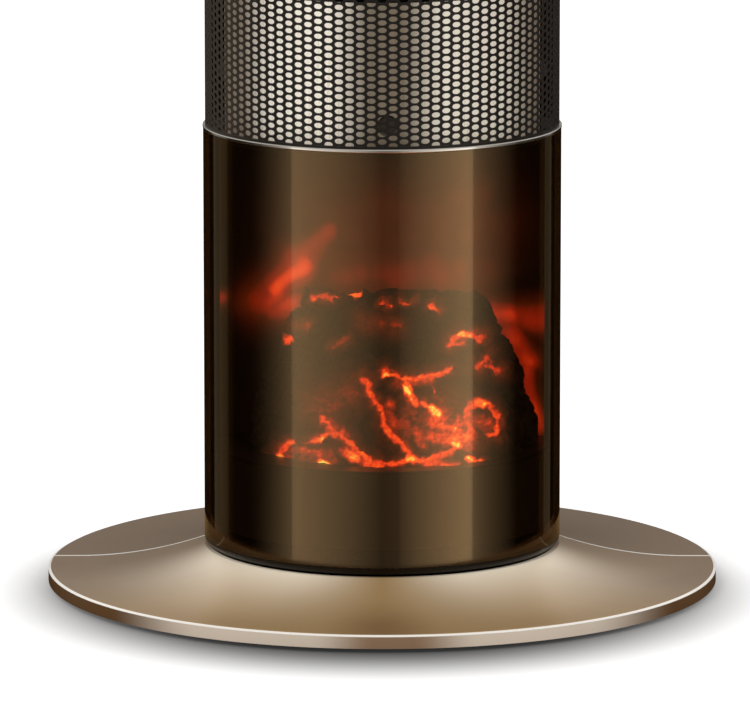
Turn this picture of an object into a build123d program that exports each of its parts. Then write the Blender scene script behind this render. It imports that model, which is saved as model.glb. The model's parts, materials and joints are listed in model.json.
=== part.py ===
from build123d import *
from math import acos, asin, cos, degrees, pi, radians, sin, sqrt, tan
import os

# Ceramic tower heater with an ember window, on a round foot in two halves.
# Millimetres. Z is up, the origin is the middle of the foot on the floor, the front faces -Y.

os.makedirs("parts", exist_ok=True)

# Driving dimensions: foot
foot_r = 150.5
foot_clearance = 2.0
rim_h = 6.2
rim_wall = 2.5
rim_bevel_w = 1.6
rim_bevel_h = 0.9
land_inset = 12.5
sweep_r = 173.0
skin = 2.2
neck_wall = 2.4
neck_flange_w = 20.0
neck_flange_t = 2.5
neck_flange_z = 6.0
seam_y = 15.0
seam_gap = 0.4
rib_count = 8
rib_t = 2.0
rib_bottom_z = 4.0
pad_count = 6
pad_r = 7.0
pad_t = 4.5
pad_inset = 20.5
pad_boss_wall = 2.0
pad_boss_recess = 0.5
pad_chamfer = 0.8

# Driving dimensions: hub and turning gear
hub_fit = 0.4
hub_wall = 2.4
hub_floor_t = 2.5
hub_drop = 0.7
sleeve_wall = 4.0
sleeve_bottom_z = 5.0
pivot_r = 13.95
pivot_fit = 0.05
pivot_bore_r = 10.0
gear_module = 1.0
gear_teeth = 48
gear_sector_spare = 16.0
gear_t = 4.0
pinion_teeth = 16
pressure_angle = 20.0
backlash = 0.14
gear_tip = 0.9
gear_root = 1.25
washer_t = 1.0
washer_rim = 3.0
washer_play = 0.4
washer_gap = 0.05
swing_half_angle = 40.0
retainer_t = 1.3
foot_screw_inset = 12.0
foot_screw_count = 4
foot_screw_r = 2.0
foot_screw_play = 0.3
foot_screw_ease = 0.05
screw_head_rim = 1.8
screw_head_h = 2.2
screw_boss_wall = 2.4
screw_boss_h = 2.5
screw_boss_cover = 1.0

# Driving dimensions: column
column_r = 80.0
column_wall = 2.5
column_gap = 0.8
turntable_t = 2.6
ring_h = 3.5
window_top_z = 207.2
trim_h = 1.6
trim_proud = 0.2
grille_step = 1.0
grille_wall = 1.6
grille_h = 431.6
head_h = 74.0
cap_side_h = 14.0
cap_rise = 10.0
joint_gap = 0.4

# Driving dimensions: grille and rear housing. The real mesh is five times as fine as this one.
mesh_columns = 9
mesh_rows = 20
mesh_web = 3.4
mesh_tip_web = 2.6
mesh_margin_angle = 9.0
flange_w = 12.0
flange_t = 2.0
flange_play = 0.6
grille_edge_y = -2.6
housing_wall = 2.2

# Driving dimensions: ember chamber
chamber_gap = 3.0
tray_z = 62.0
tray_t = 2.6
tray_fit = 0.4
bed_rise = 74.0
bed_inset = 8.5
bed_crown_r = 38.0
bed_shift_x = 4.5
bed_back_gap = 5.0
bed_wall = 3.0
bed_side_wall = 5.0
bed_round = 1.7
bed_sides = 14
screen_y = 9.0
screen_t = 2.0
screen_fit = 0.7
spindle_rise = 50.0
spindle_r = 2.0
spindle_inset = 26.5
petal_reach = 12.0

# Driving dimensions: blower and heater
rotor_y = 22.0
rotor_r = 28.0
rotor_lift = 4.0
rotor_head_room = 44.4
rotor_blades = 16
blade_t = 1.0
shaft_r = 3.0
shaft_fit = 0.05
motor_r = 28.0
motor_h = 42.0
plate_inset = 7.5
plate_t = 1.2
plate_half_angle = 78.0
plate_h = 63.2
heater_w = 72.0
heater_d = 18.0
heater_back_y = -28.0
heater_border = 5.0
ceramic_bars = 3
ceramic_w = 6.0
fin_pitch = 18.0
fin_t = 0.5

# Driving dimensions: controls
key_count = 5
key_r = 6.5
key_fit = 0.3
key_travel = 0.8
key_ring_r = 42.0
key_spread = 28.0
lens_half_angle = 25.0
lens_margin = 28.0
grip_w = 92.0
grip_h = 30.0
grip_depth = 26.0
grip_wall = 2.0
switch_w = 14.0
switch_h = 21.0
switch_rise = 22.0
gland_rise = 10.0
gland_bore_r = 3.8
plunger_x = -52.0
plunger_r = 3.0
plunger_travel = 3.0

# Heights and radii that follow from the driving dimensions
column_inner_r = column_r - column_wall
neck_r = column_r
neck_flange_r = neck_r - neck_flange_w
land_r = foot_r - land_inset
pad_ring_r = foot_r - pad_inset
foot_screw_ring_r = neck_r - foot_screw_inset
rim_top_z = foot_clearance + rim_h
sweep_z = rim_top_z + sweep_r
lip_z = sweep_z - sqrt(sweep_r**2 - (land_r - neck_r) ** 2)
hub_top_z = lip_z - hub_drop
column_bottom_z = lip_z + column_gap
window_bottom_z = column_bottom_z + ring_h
hub_floor_z = neck_flange_z + neck_flange_t
hub_r = neck_r - neck_wall - hub_fit
sleeve_r = pivot_r + pivot_fit
trim_z = window_top_z
grille_r = column_r - grille_step
grille_z = trim_z + trim_h
upper_trim_z = grille_z + grille_h
plate_r = grille_r - plate_inset
plate_top_z = grille_z + plate_h
rotor_bottom_z = plate_top_z + rotor_lift
rotor_top_z = upper_trim_z - rotor_head_room
rotor_h = rotor_top_z - rotor_bottom_z
head_z = upper_trim_z + trim_h
cap_z = head_z + head_h
cap_top_z = cap_z + cap_side_h + cap_rise
grille_inner_r = grille_r - grille_wall
chamber_r = column_inner_r - chamber_gap


# Shared profiles

def arc_band(outer, inner, start, end):
    """A flat band between two radii, from one angle to another, in degrees."""
    with BuildSketch() as band:
        with BuildLine():
            outside = CenterArc((0, 0), outer, start, end - start)
            inside = CenterArc((0, 0), inner, start, end - start)
            Line(outside @ 0, inside @ 0)
            Line(outside @ 1, inside @ 1)
        make_face()
    return band.sketch


def ring_face(outer, inner):
    """A flat ring."""
    with BuildSketch() as ring:
        Circle(outer)
        Circle(inner, mode=Mode.SUBTRACT)
    return ring.sketch


def front_plane(y):
    """A vertical plane that faces the front, at depth y: local x is X and local y is Z."""
    return Plane(origin=(0, y, 0), x_dir=(1, 0, 0), z_dir=(0, -1, 0))


def radial_plane(angle, radius, z=0.0):
    """A plane that touches a cylinder at an angle and faces outward: local y is Z."""
    a = radians(angle)
    return Plane(
        origin=(radius * cos(a), radius * sin(a), z),
        x_dir=(-sin(a), cos(a), 0),
        z_dir=(cos(a), sin(a), 0),
    )


def sweep_height(radius, centre_z, arc_r):
    """Height of the foot's hollow curve at a radius."""
    return centre_z - sqrt(arc_r**2 - (land_r - radius) ** 2)


# Foot, as one revolved skin that is then parted along the seam

under_r = sweep_r + skin
lip_under_z = sweep_height(neck_r, sweep_z, under_r)
sweep_mid_r = (land_r + neck_r) / 2

with BuildPart() as foot_shell:
    with BuildSketch(Plane.XZ):
        with BuildLine():
            Polyline(
                (foot_r - rim_wall, foot_clearance),
                (foot_r, foot_clearance),
                (foot_r, rim_top_z - rim_bevel_h),
                (foot_r - rim_bevel_w, rim_top_z),
                (land_r, rim_top_z),
            )
            ThreePointArc(
                (land_r, rim_top_z),
                (sweep_mid_r, sweep_height(sweep_mid_r, sweep_z, sweep_r)),
                (neck_r, lip_z),
            )
            Polyline(
                (neck_r, lip_z),
                (neck_r - neck_wall, lip_z),
                (neck_r - neck_wall, hub_floor_z),
                (neck_flange_r, hub_floor_z),
                (neck_flange_r, neck_flange_z),
                (neck_r, neck_flange_z),
                (neck_r, lip_under_z),
            )
            ThreePointArc(
                (neck_r, lip_under_z),
                (sweep_mid_r, sweep_height(sweep_mid_r, sweep_z, under_r)),
                (land_r, rim_top_z - skin),
            )
            Polyline(
                (land_r, rim_top_z - skin),
                (foot_r - rim_wall, rim_top_z - skin),
                (foot_r - rim_wall, foot_clearance),
            )
        make_face()
    revolve(axis=Axis.Z)

    # Ribs under the skin, from the neck to the rim
    rib_step = 360 / rib_count
    for i in range(rib_count):
        rib_plane = Plane.XZ.rotated((0, 0, rib_step * (i + 0.5)))
        with BuildSketch(rib_plane):
            with BuildLine():
                ThreePointArc(
                    (neck_r - neck_wall / 2, lip_under_z + skin / 2),
                    (sweep_mid_r, sweep_height(sweep_mid_r, sweep_z, under_r) + skin / 2),
                    (land_r, rim_top_z - skin / 2),
                )
                Polyline(
                    (land_r, rim_top_z - skin / 2),
                    (foot_r - rim_wall / 2, rim_top_z - skin / 2),
                    (foot_r - rim_wall / 2, rib_bottom_z),
                    (neck_r - neck_wall / 2, neck_flange_z),
                    (neck_r - neck_wall / 2, lip_under_z + skin / 2),
                )
            make_face()
        extrude(amount=rib_t / 2, both=True)

    # Bosses that hold the rubber pads
    pad_boss_r = pad_r + pad_boss_wall
    with BuildSketch(Plane.XY.offset(foot_clearance + pad_boss_recess)):
        with PolarLocations(pad_ring_r, pad_count, start_angle=30):
            Circle(pad_boss_r)
    extrude(amount=rim_top_z - skin / 2 - foot_clearance - pad_boss_recess)
    with BuildSketch(Plane.XY):
        with PolarLocations(pad_ring_r, pad_count, start_angle=30):
            Circle(pad_r)
    extrude(amount=pad_t, mode=Mode.SUBTRACT)

    # Holes for the screws that pull the halves onto the hub
    with BuildSketch(Plane.XY.offset(neck_flange_z)):
        with PolarLocations(foot_screw_ring_r, foot_screw_count, start_angle=45):
            Circle(foot_screw_r + foot_screw_play)
    extrude(amount=neck_flange_t, mode=Mode.SUBTRACT)

seam_plane = Plane(origin=(0, seam_y, 0), x_dir=(1, 0, 0), z_dir=(0, 1, 0))

with BuildPart() as base_front:
    add(foot_shell.part)
    split(bisect_by=seam_plane.offset(-seam_gap / 2), keep=Keep.BOTTOM)
base_front.part.label = "base_front"

with BuildPart() as base_rear:
    add(foot_shell.part)
    split(bisect_by=seam_plane.offset(seam_gap / 2), keep=Keep.TOP)
base_rear.part.label = "base_rear"

with BuildPart() as rubber_pads:
    with BuildSketch():
        with PolarLocations(pad_ring_r, pad_count, start_angle=30):
            Circle(pad_r)
    extrude(amount=pad_t)
    chamfer(rubber_pads.edges().group_by(Axis.Z)[0], length=pad_chamfer)
rubber_pads.part.label = "rubber_pads"


# Hub: a dish in the middle of the foot with the bore that the column turns in

with BuildPart() as base_hub:
    with BuildSketch(Plane.XZ):
        with BuildLine():
            Polyline(
                (sleeve_r, sleeve_bottom_z),
                (sleeve_r + sleeve_wall, sleeve_bottom_z),
                (sleeve_r + sleeve_wall, hub_floor_z),
                (hub_r, hub_floor_z),
                (hub_r, hub_top_z),
                (hub_r - hub_wall, hub_top_z),
                (hub_r - hub_wall, hub_floor_z + hub_floor_t),
                (sleeve_r + sleeve_wall, hub_floor_z + hub_floor_t),
                (sleeve_r + sleeve_wall, hub_top_z),
                (sleeve_r, hub_top_z),
                (sleeve_r, sleeve_bottom_z),
            )
        make_face()
    revolve(axis=Axis.Z)
    with BuildSketch(Plane.XY.offset(hub_floor_z)):
        with PolarLocations(foot_screw_ring_r, foot_screw_count, start_angle=45):
            Circle(foot_screw_r + screw_boss_wall)
    extrude(amount=hub_floor_t + screw_boss_h)
    with BuildSketch(Plane.XY.offset(hub_floor_z)):
        with PolarLocations(foot_screw_ring_r, foot_screw_count, start_angle=45):
            Circle(foot_screw_r)
    extrude(amount=hub_floor_t + screw_boss_h - screw_boss_cover, mode=Mode.SUBTRACT)
    with BuildSketch(Plane.XY.offset(hub_floor_z)):
        with Locations((plunger_x, 0)):
            Circle(plunger_r + key_fit)
    extrude(amount=hub_floor_t, mode=Mode.SUBTRACT)

    # Stiffening ribs under the floor, inside the flange of the foot
    hub_rib_count = 6
    hub_rib_gap = 1.0
    rib_reach = neck_flange_r - hub_rib_gap - sleeve_r - sleeve_wall / 2
    with BuildSketch(Plane.XY.offset(neck_flange_z)):
        with PolarLocations(sleeve_r + sleeve_wall / 2 + rib_reach / 2, hub_rib_count, start_angle=30):
            Rectangle(rib_reach, rib_t)
    extrude(amount=neck_flange_t)
base_hub.part.label = "base_hub"

with BuildPart() as base_screws:
    with BuildSketch(Plane.XY.offset(neck_flange_z - screw_head_h)):
        with PolarLocations(foot_screw_ring_r, foot_screw_count, start_angle=45):
            Circle(foot_screw_r + screw_head_rim)
    extrude(amount=screw_head_h)
    with BuildSketch(Plane.XY.offset(neck_flange_z)):
        with PolarLocations(foot_screw_ring_r, foot_screw_count, start_angle=45):
            Circle(foot_screw_r - foot_screw_ease)
    extrude(amount=neck_flange_t + hub_floor_t)
base_screws.part.label = "base_screws"


# Turning gear: a toothed sector fixed on the hub and a pinion on the motor above it

def involute_point(base, radius):
    """Angle by which an involute has turned away from its start at a radius, in radians."""
    if radius <= base:
        return 0.0
    roll = acos(base / radius)
    return tan(roll) - roll


def gear_outline(teeth, first, count, phase):
    """Points along a run of teeth, going round, with a space wider than the tooth by the backlash."""
    pitch = gear_module * teeth / 2
    base = pitch * cos(radians(pressure_angle))
    tip = pitch + gear_module * gear_tip
    root = pitch - gear_root * gear_module
    flank = [max(base, root + 0.05), pitch, tip]
    half = pi / (2 * teeth) - backlash / (2 * pitch)
    at_pitch = involute_point(base, pitch)
    points = []
    for k in range(first, first + count):
        middle = radians(phase) + 2 * pi * k / teeth
        rising = [(r, middle - half - at_pitch + involute_point(base, r)) for r in flank]
        falling = [(r, 2 * middle - a) for r, a in reversed(rising)]
        start = (root, rising[0][1])
        stop = (root, falling[-1][1])
        points += [(r * cos(a), r * sin(a)) for r, a in [start, *rising, *falling, stop]]
    return points


gear_pitch_r = gear_module * gear_teeth / 2
pinion_pitch_r = gear_module * pinion_teeth / 2
pinion_y = gear_pitch_r + pinion_pitch_r
gear_z = hub_floor_z + hub_floor_t
sector_teeth = round(gear_teeth * (swing_half_angle + gear_sector_spare) / 180)
sector_root_r = gear_pitch_r - gear_root * gear_module
sector_bore_fit = 0.1
sector_bore_r = sleeve_r + sleeve_wall + sector_bore_fit

with BuildPart() as sector_gear:
    first_tooth = -(sector_teeth // 2)
    teeth_run = gear_outline(gear_teeth, first_tooth, sector_teeth, 90)
    with BuildSketch(Plane.XY.offset(gear_z)):
        with BuildLine():
            Polyline(*teeth_run)
            Polyline(teeth_run[-1], (0, 0), teeth_run[0])
        make_face()
        Circle(sector_root_r)
        Circle(sector_bore_r, mode=Mode.SUBTRACT)
    extrude(amount=gear_t)
sector_gear.part.label = "sector_gear"

pinion_shaft_r = 2.0
pinion_play = 0.4
pinion_shaft_reach = 4.0

with BuildPart() as swing_pinion:
    pinion_points = gear_outline(pinion_teeth, 0, pinion_teeth, 270 + 180 / pinion_teeth)
    with BuildSketch(Plane.XY.offset(gear_z + pinion_play)):
        with Locations((0, pinion_y)):
            with BuildLine(mode=Mode.PRIVATE) as pinion_rim:
                Polyline(*pinion_points, close=True)
            add(make_face(pinion_rim.edges(), mode=Mode.PRIVATE))
    extrude(amount=gear_t - 2 * pinion_play)
    with BuildSketch(Plane.XY.offset(gear_z + gear_t - pinion_play)):
        with Locations((0, pinion_y)):
            Circle(pinion_shaft_r)
    extrude(amount=column_bottom_z + turntable_t - gear_z - gear_t + pinion_play + pinion_shaft_reach)
swing_pinion.part.label = "swing_pinion"

with BuildPart() as thrust_washer:
    with BuildSketch(Plane.XY.offset(hub_top_z)):
        add(ring_face(sleeve_r + sleeve_wall + washer_rim, sleeve_r + washer_play))
    extrude(amount=washer_t)
thrust_washer.part.label = "thrust_washer"


# Tip-over switch under the hub floor: it opens when the foot lifts off its plunger

tip_case_l = 20.0
tip_case_w = 11.0
tip_case_roof = 1.1
tip_case_round = 1.0
collar_w = 1.0
collar_gap = 0.2
plunger_chamfer = 1.0
collar_r = plunger_r + collar_w
collar_t = 1.2
tip_case_h = plunger_travel + collar_t + collar_gap + tip_case_roof

with BuildPart() as tip_switch:
    with BuildSketch(Plane.XY.offset(gear_z)):
        with Locations((plunger_x, 0)):
            Rectangle(tip_case_w, tip_case_l)
    extrude(amount=tip_case_h)
    fillet(tip_switch.edges().filter_by(Axis.Z), radius=tip_case_round)
    with BuildSketch(Plane.XY.offset(gear_z)):
        with Locations((plunger_x, 0)):
            Circle(collar_r + key_fit)
    extrude(amount=tip_case_h - tip_case_roof, mode=Mode.SUBTRACT)
tip_switch.part.label = "tip_switch"

with BuildPart() as tip_plunger:
    with BuildSketch():
        with Locations((plunger_x, 0)):
            Circle(plunger_r)
    extrude(amount=gear_z + plunger_travel)
    chamfer(tip_plunger.edges().group_by(Axis.Z)[0], length=plunger_chamfer)
    with BuildSketch(Plane.XY.offset(gear_z + plunger_travel)):
        with Locations((plunger_x, 0)):
            Circle(collar_r)
    extrude(amount=collar_t)
tip_plunger.part.label = "tip_plunger"


# Turntable: the plate that carries the column, with the pivot that runs in the hub

turntable_sink = 0.2
turntable_inset = 6.5
clip_slot_drop = 1.8
clip_slot_depth = 1.4
clip_play = 0.05
clip_rim = 3.5
pivot_end = 1.0
pinion_hole_play = 0.6
turntable_z = column_bottom_z - turntable_sink
turntable_top_z = turntable_z + turntable_t
turntable_r = column_r - turntable_inset
washer_top_z = hub_top_z + washer_t
groove_z = sleeve_bottom_z - clip_slot_drop
groove_h = retainer_t + 2 * clip_play
groove_r = pivot_r - clip_slot_depth
pivot_bottom_z = groove_z - pivot_end
pivot_shoulder_r = sleeve_r + sleeve_wall + washer_rim
pivot_shoulder_z = washer_top_z + washer_gap

with BuildPart() as turntable:
    with BuildSketch(Plane.XZ):
        with BuildLine():
            Polyline(
                (pivot_bore_r, pivot_bottom_z),
                (pivot_r, pivot_bottom_z),
                (pivot_r, groove_z),
                (groove_r, groove_z),
                (groove_r, groove_z + groove_h),
                (pivot_r, groove_z + groove_h),
                (pivot_r, pivot_shoulder_z),
                (pivot_shoulder_r, pivot_shoulder_z),
                (pivot_shoulder_r, turntable_z),
                (turntable_r, turntable_z),
                (turntable_r, turntable_top_z),
                (pivot_bore_r, turntable_top_z),
                (pivot_bore_r, pivot_bottom_z),
            )
        make_face()
    revolve(axis=Axis.Z)
    with BuildSketch(Plane.XY.offset(washer_top_z)):
        with Locations((0, pinion_y)):
            Circle(pinion_shaft_r + pinion_hole_play)
    extrude(amount=turntable_t + 1, mode=Mode.SUBTRACT)
turntable.part.label = "turntable"

with BuildPart() as pivot_clip:
    with BuildSketch(Plane.XY.offset(groove_z + clip_play)):
        add(arc_band(pivot_r + clip_rim, groove_r + clip_play, 300, 600))
    extrude(amount=retainer_t)
pivot_clip.part.label = "pivot_clip"

swing_motor_r = 17.5
swing_motor_h = 15.0
swing_motor_round = 1.5
motor_ear_reach = 7.0
motor_ear_w = 9.0
motor_ear_t = 1.2
motor_socket = 6.0

with BuildPart() as swing_motor:
    with BuildSketch(Plane.XY.offset(turntable_top_z)):
        with Locations((0, pinion_y)):
            Circle(swing_motor_r)
    extrude(amount=swing_motor_h)
    fillet(swing_motor.edges().group_by(Axis.Z)[-1], radius=swing_motor_round)
    with BuildSketch(Plane.XY.offset(turntable_top_z)):
        with Locations((0, pinion_y)):
            Rectangle(2 * (swing_motor_r + motor_ear_reach), motor_ear_w)
    extrude(amount=motor_ear_t)
    with BuildSketch(Plane.XY.offset(turntable_top_z)):
        with Locations((0, pinion_y)):
            Circle(pinion_shaft_r + shaft_fit)
    extrude(amount=motor_socket, mode=Mode.SUBTRACT)
swing_motor.part.label = "swing_motor"


# Bottom ring: closes the column at its foot and seats the window

ring_round = 3.0
seat_fit = 0.2
seat_t = 2.0
seat_rise = 7.5
seat_top_z = window_bottom_z + seat_rise
seat_r = column_inner_r - seat_fit
ring_flange_w = 7.5
ring_flange_r = turntable_r - ring_flange_w
ring_bore_r = turntable_r + 0.5

with BuildPart() as bottom_ring:
    with BuildSketch(Plane.XZ):
        with BuildLine():
            Line((ring_bore_r, column_bottom_z), (column_r - ring_round, column_bottom_z))
            RadiusArc(
                (column_r - ring_round, column_bottom_z),
                (column_r, column_bottom_z + ring_round),
                -ring_round,
            )
            Polyline(
                (column_r, column_bottom_z + ring_round),
                (column_r, window_bottom_z),
                (seat_r, window_bottom_z),
                (seat_r, seat_top_z),
                (seat_r - seat_t, seat_top_z),
                (seat_r - seat_t, turntable_top_z + seat_t),
                (ring_flange_r, turntable_top_z + seat_t),
                (ring_flange_r, turntable_top_z),
                (ring_bore_r, turntable_top_z),
                (ring_bore_r, column_bottom_z),
            )
        make_face()
    revolve(axis=Axis.Z)
bottom_ring.part.label = "bottom_ring"


# Ember window: the dark glossy half of the lower column, a little more than a half turn

window_overlap = 2.0
window_h = window_top_z - window_bottom_z
gap_angle = degrees(joint_gap / column_r)

with BuildPart() as flame_window:
    with BuildSketch(Plane.XY.offset(window_bottom_z)):
        add(arc_band(column_r, column_inner_r, 180 - window_overlap, 360 + window_overlap))
    extrude(amount=window_h)
flame_window.part.label = "flame_window"

mask_t = 1.6
mask_half_angle = 86.0
mask_top_z = tray_z + 1.4

with BuildPart() as window_mask:
    with BuildSketch(Plane.XY.offset(seat_top_z)):
        add(arc_band(seat_r, seat_r - mask_t, 270 - mask_half_angle, 270 + mask_half_angle))
    extrude(amount=mask_top_z - seat_top_z)
window_mask.part.label = "window_mask"

ledge_h = 2.5
deck_t = 2.5
deck_z = window_top_z - deck_t
ledge_z = deck_z - ledge_h
board_inset = 20.0
board_rise = 32.0
board_head_room = 12.5
board_y = column_r - board_inset
board_w = 72.0
board_z = tray_z + board_rise
board_h = ledge_z - board_z - board_head_room
board_t = 1.6
board_post_r = 3.5
gland_z = seat_top_z + gland_rise
switch_z = gland_z + switch_rise
gland_wall = 2.2
gland_flange_w = 2.6
gland_hole_r = gland_bore_r + gland_wall
gland_flange_r = gland_hole_r + gland_flange_w
board_post_inset = 5.5
board_post_x = board_w / 2 - board_post_inset
vent_w = 3.5
vent_h = 56.0
vent_pitch = 8.0
vent_count = 7
tongue_t = 2.0
tongue_half_angle = 4.0
tongue_root_shift = 2.5
tongue_root_angle = 1.2
ledge_d = 5.5
ledge_half_angle = 82.0
weld = 0.5
hole_play = 0.1
switch_play = 0.2

with BuildPart() as lower_rear_cover:
    with BuildSketch(Plane.XY.offset(window_bottom_z)):
        add(arc_band(
            column_r,
            column_inner_r,
            window_overlap + gap_angle,
            180 - window_overlap - gap_angle,
        ))
    extrude(amount=window_h)

    # Tongues behind the window's upright edges
    tongue_outer_r = column_inner_r - seat_fit
    tongue_inner_r = tongue_outer_r - tongue_t
    tongue_z = seat_top_z + 1.0
    for edge, turn in ((window_overlap, 1), (180 - window_overlap, -1)):
        root = edge + turn * tongue_root_shift
        with BuildSketch(Plane.XY.offset(tongue_z)):
            add(arc_band(
                tongue_outer_r,
                tongue_inner_r,
                edge - tongue_half_angle,
                edge + tongue_half_angle,
            ))
        extrude(amount=ledge_z - tongue_z)
        with BuildSketch(Plane.XY.offset(tongue_z)):
            add(arc_band(
                column_inner_r + weld,
                tongue_inner_r,
                root - tongue_root_angle,
                root + tongue_root_angle,
            ))
        extrude(amount=ledge_z - tongue_z)

    # Ledge that the middle deck rests on
    with BuildSketch(Plane.XY.offset(ledge_z)):
        ledge_start = 90 - ledge_half_angle
        ledge_stop = 90 + ledge_half_angle
        add(arc_band(column_inner_r + weld, column_inner_r - ledge_d, ledge_start, ledge_stop))
    extrude(amount=ledge_h)

    # Posts for the power board
    with BuildSketch(front_plane(board_y + board_t)):
        with Locations((0, board_z + board_h / 2)):
            with GridLocations(2 * board_post_x, board_h - 12, 2, 2):
                Circle(board_post_r)
    extrude(amount=-(column_r - board_y - board_t))
    with BuildSketch(Plane.XY.offset(window_bottom_z)):
        add(ring_face(column_r + 20, column_r))
    extrude(amount=window_h, mode=Mode.SUBTRACT)

    # Hole for the cord's bush, cut-out for the main switch, and air slots
    with BuildSketch(front_plane(column_r + 2)):
        with Locations((0, gland_z)):
            Circle(gland_hole_r + hole_play)
        with Locations((0, switch_z)):
            Rectangle(switch_w + 2 * switch_play, switch_h + 2 * switch_play)
        with Locations((0, board_z + board_h / 2)):
            with GridLocations(vent_pitch, 0, vent_count, 1):
                Rectangle(vent_w, vent_h)
    extrude(amount=12, mode=Mode.SUBTRACT)
lower_rear_cover.part.label = "lower_rear_cover"

gland_gap = 0.2
gland_flange_t = 2.2
gland_l = 9.0
gland_nut_depth = 5.6
gland_nut_t = 3.2
gland_nut_r = gland_flange_r - 0.6
gland_face_y = column_r + gland_gap + gland_flange_t

with BuildPart() as cord_bush:
    with BuildSketch(front_plane(gland_face_y)):
        with Locations((0, gland_z)):
            Circle(gland_flange_r)
    extrude(amount=gland_flange_t)
    with BuildSketch(front_plane(column_r + gland_gap)):
        with Locations((0, gland_z)):
            Circle(gland_hole_r)
    extrude(amount=gland_l)
    with BuildSketch(front_plane(column_r - gland_nut_depth)):
        with Locations((0, gland_z)):
            Circle(gland_nut_r)
    extrude(amount=gland_nut_t)
    with BuildSketch(front_plane(gland_face_y)):
        with Locations((0, gland_z)):
            Circle(gland_bore_r)
    extrude(amount=gland_flange_t + gland_l + gland_nut_t, mode=Mode.SUBTRACT)
cord_bush.part.label = "cord_bush"


# Main switch: a rocker in a bezel at the back

rocker_side = 1.8
rocker_end = 2.0
rocker_play = 0.4
rocker_end_play = 0.8
rocker_pin_reach = 1.0
rocker_pin_play = 0.1
rocker_dip = 6.6
rocker_edge = 7.6
rocker_heel = 4.0
rocker_w = switch_w - 2 * rocker_side
rocker_h = switch_h - 2 * rocker_end
rocker_y = column_r - 4.0
bezel_floor = 2.0
bezel_flange_w = 1.5
bezel_round = 2.0
bezel_depth = 14.0
bezel_lip = 1.8
rocker_pin_r = 1.2
rocker_taper = 1.8
rocker_heel_h = 3.0

with BuildPart() as switch_bezel:
    with BuildSketch(front_plane(column_r + bezel_lip)):
        with Locations((0, switch_z)):
            RectangleRounded(switch_w + 2 * bezel_flange_w, switch_h + 2 * bezel_flange_w, bezel_round)
    extrude(amount=bezel_lip)
    with BuildSketch(front_plane(column_r)):
        with Locations((0, switch_z)):
            Rectangle(switch_w, switch_h)
    extrude(amount=bezel_depth)
    with BuildSketch(front_plane(column_r + bezel_floor)):
        with Locations((0, switch_z)):
            Rectangle(rocker_w + 2 * rocker_play, rocker_h + 2 * rocker_end_play)
    extrude(amount=bezel_depth - bezel_floor, mode=Mode.SUBTRACT)
    pin_socket_x = rocker_w / 2 + rocker_pin_reach + 0.2
    with BuildSketch(Plane.YZ.offset(-pin_socket_x)):
        with Locations((rocker_y, switch_z)):
            Circle(rocker_pin_r + rocker_pin_play)
    extrude(amount=2 * pin_socket_x, mode=Mode.SUBTRACT)
switch_bezel.part.label = "switch_bezel"

with BuildPart() as power_rocker:
    with BuildSketch(Plane.YZ.offset(-rocker_w / 2)):
        with BuildLine():
            half_h = rocker_h / 2
            edge_h = half_h - rocker_taper
            dip_y = rocker_y + rocker_dip
            edge_y = rocker_y + rocker_edge
            heel_y = rocker_y - rocker_heel
            ThreePointArc(
                (edge_y, switch_z - edge_h),
                (dip_y, switch_z),
                (edge_y, switch_z + edge_h),
            )
            Polyline(
                (edge_y, switch_z + edge_h),
                (rocker_y, switch_z + half_h),
                (heel_y, switch_z + rocker_heel_h),
                (heel_y, switch_z - rocker_heel_h),
                (rocker_y, switch_z - half_h),
                (edge_y, switch_z - edge_h),
            )
        make_face()
    extrude(amount=rocker_w)
    with BuildSketch(Plane.YZ.offset(-rocker_w / 2 - rocker_pin_reach)):
        with Locations((rocker_y, switch_z)):
            Circle(rocker_pin_r)
    extrude(amount=rocker_w + 2 * rocker_pin_reach)
power_rocker.part.label = "power_rocker"

transformer = (22.0, 28.0, 11.0)
relay = (12.0, 18.0, 11.0)
capacitor_r = 5.0
capacitor_h = 9.0
terminal_block = (46.0, 8.0, 8.0)

with BuildPart() as power_board:
    with BuildSketch(front_plane(board_y + board_t)):
        with Locations((0, board_z + board_h / 2)):
            Rectangle(board_w, board_h)
    extrude(amount=board_t)
    with BuildSketch(front_plane(board_y)):
        with Locations((-0.28 * board_w, board_z + board_h - 22)):
            Rectangle(transformer[0], transformer[1])
    extrude(amount=transformer[2])
    with BuildSketch(front_plane(board_y)):
        with Locations((0.22 * board_w, board_z + board_h - 18)):
            with GridLocations(relay[0] + 4, 0, 2, 1):
                Rectangle(relay[0], relay[1])
    extrude(amount=relay[2])
    with BuildSketch(front_plane(board_y)):
        with Locations((0.28 * board_w, board_z + board_h - 42)):
            with GridLocations(2 * capacitor_r + 3, 0, 2, 1):
                Circle(capacitor_r)
    extrude(amount=capacitor_h)
    with BuildSketch(front_plane(board_y)):
        with Locations((0, board_z + 6)):
            Rectangle(terminal_block[0], terminal_block[1])
    extrude(amount=terminal_block[2])
power_board.part.label = "power_board"


# Ember chamber: tray on legs, hollow mound of embers, screen, lamps and the turning flame spindle

leg_r = 4.0
leg_inset = 17.5
leg_ring_r = chamber_r - leg_inset
leg_angles = (25, 155, 205, 335)
tray_back_gap = 32.0
tray_back_y = column_r - tray_back_gap
wire_hole_r = 7.0

with BuildPart() as ember_tray:
    with BuildSketch(Plane.XY.offset(tray_z)):
        Circle(chamber_r - tray_fit)
        with Locations((0, tray_back_y + chamber_r / 2)):
            Rectangle(2 * chamber_r, chamber_r, mode=Mode.SUBTRACT)
    extrude(amount=tray_t)
    with BuildSketch(Plane.XY.offset(turntable_top_z)):
        for angle in leg_angles:
            with PolarLocations(leg_ring_r, 1, start_angle=angle):
                Circle(leg_r)
    extrude(amount=tray_z - turntable_top_z)
ember_tray.part.label = "ember_tray"


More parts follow.
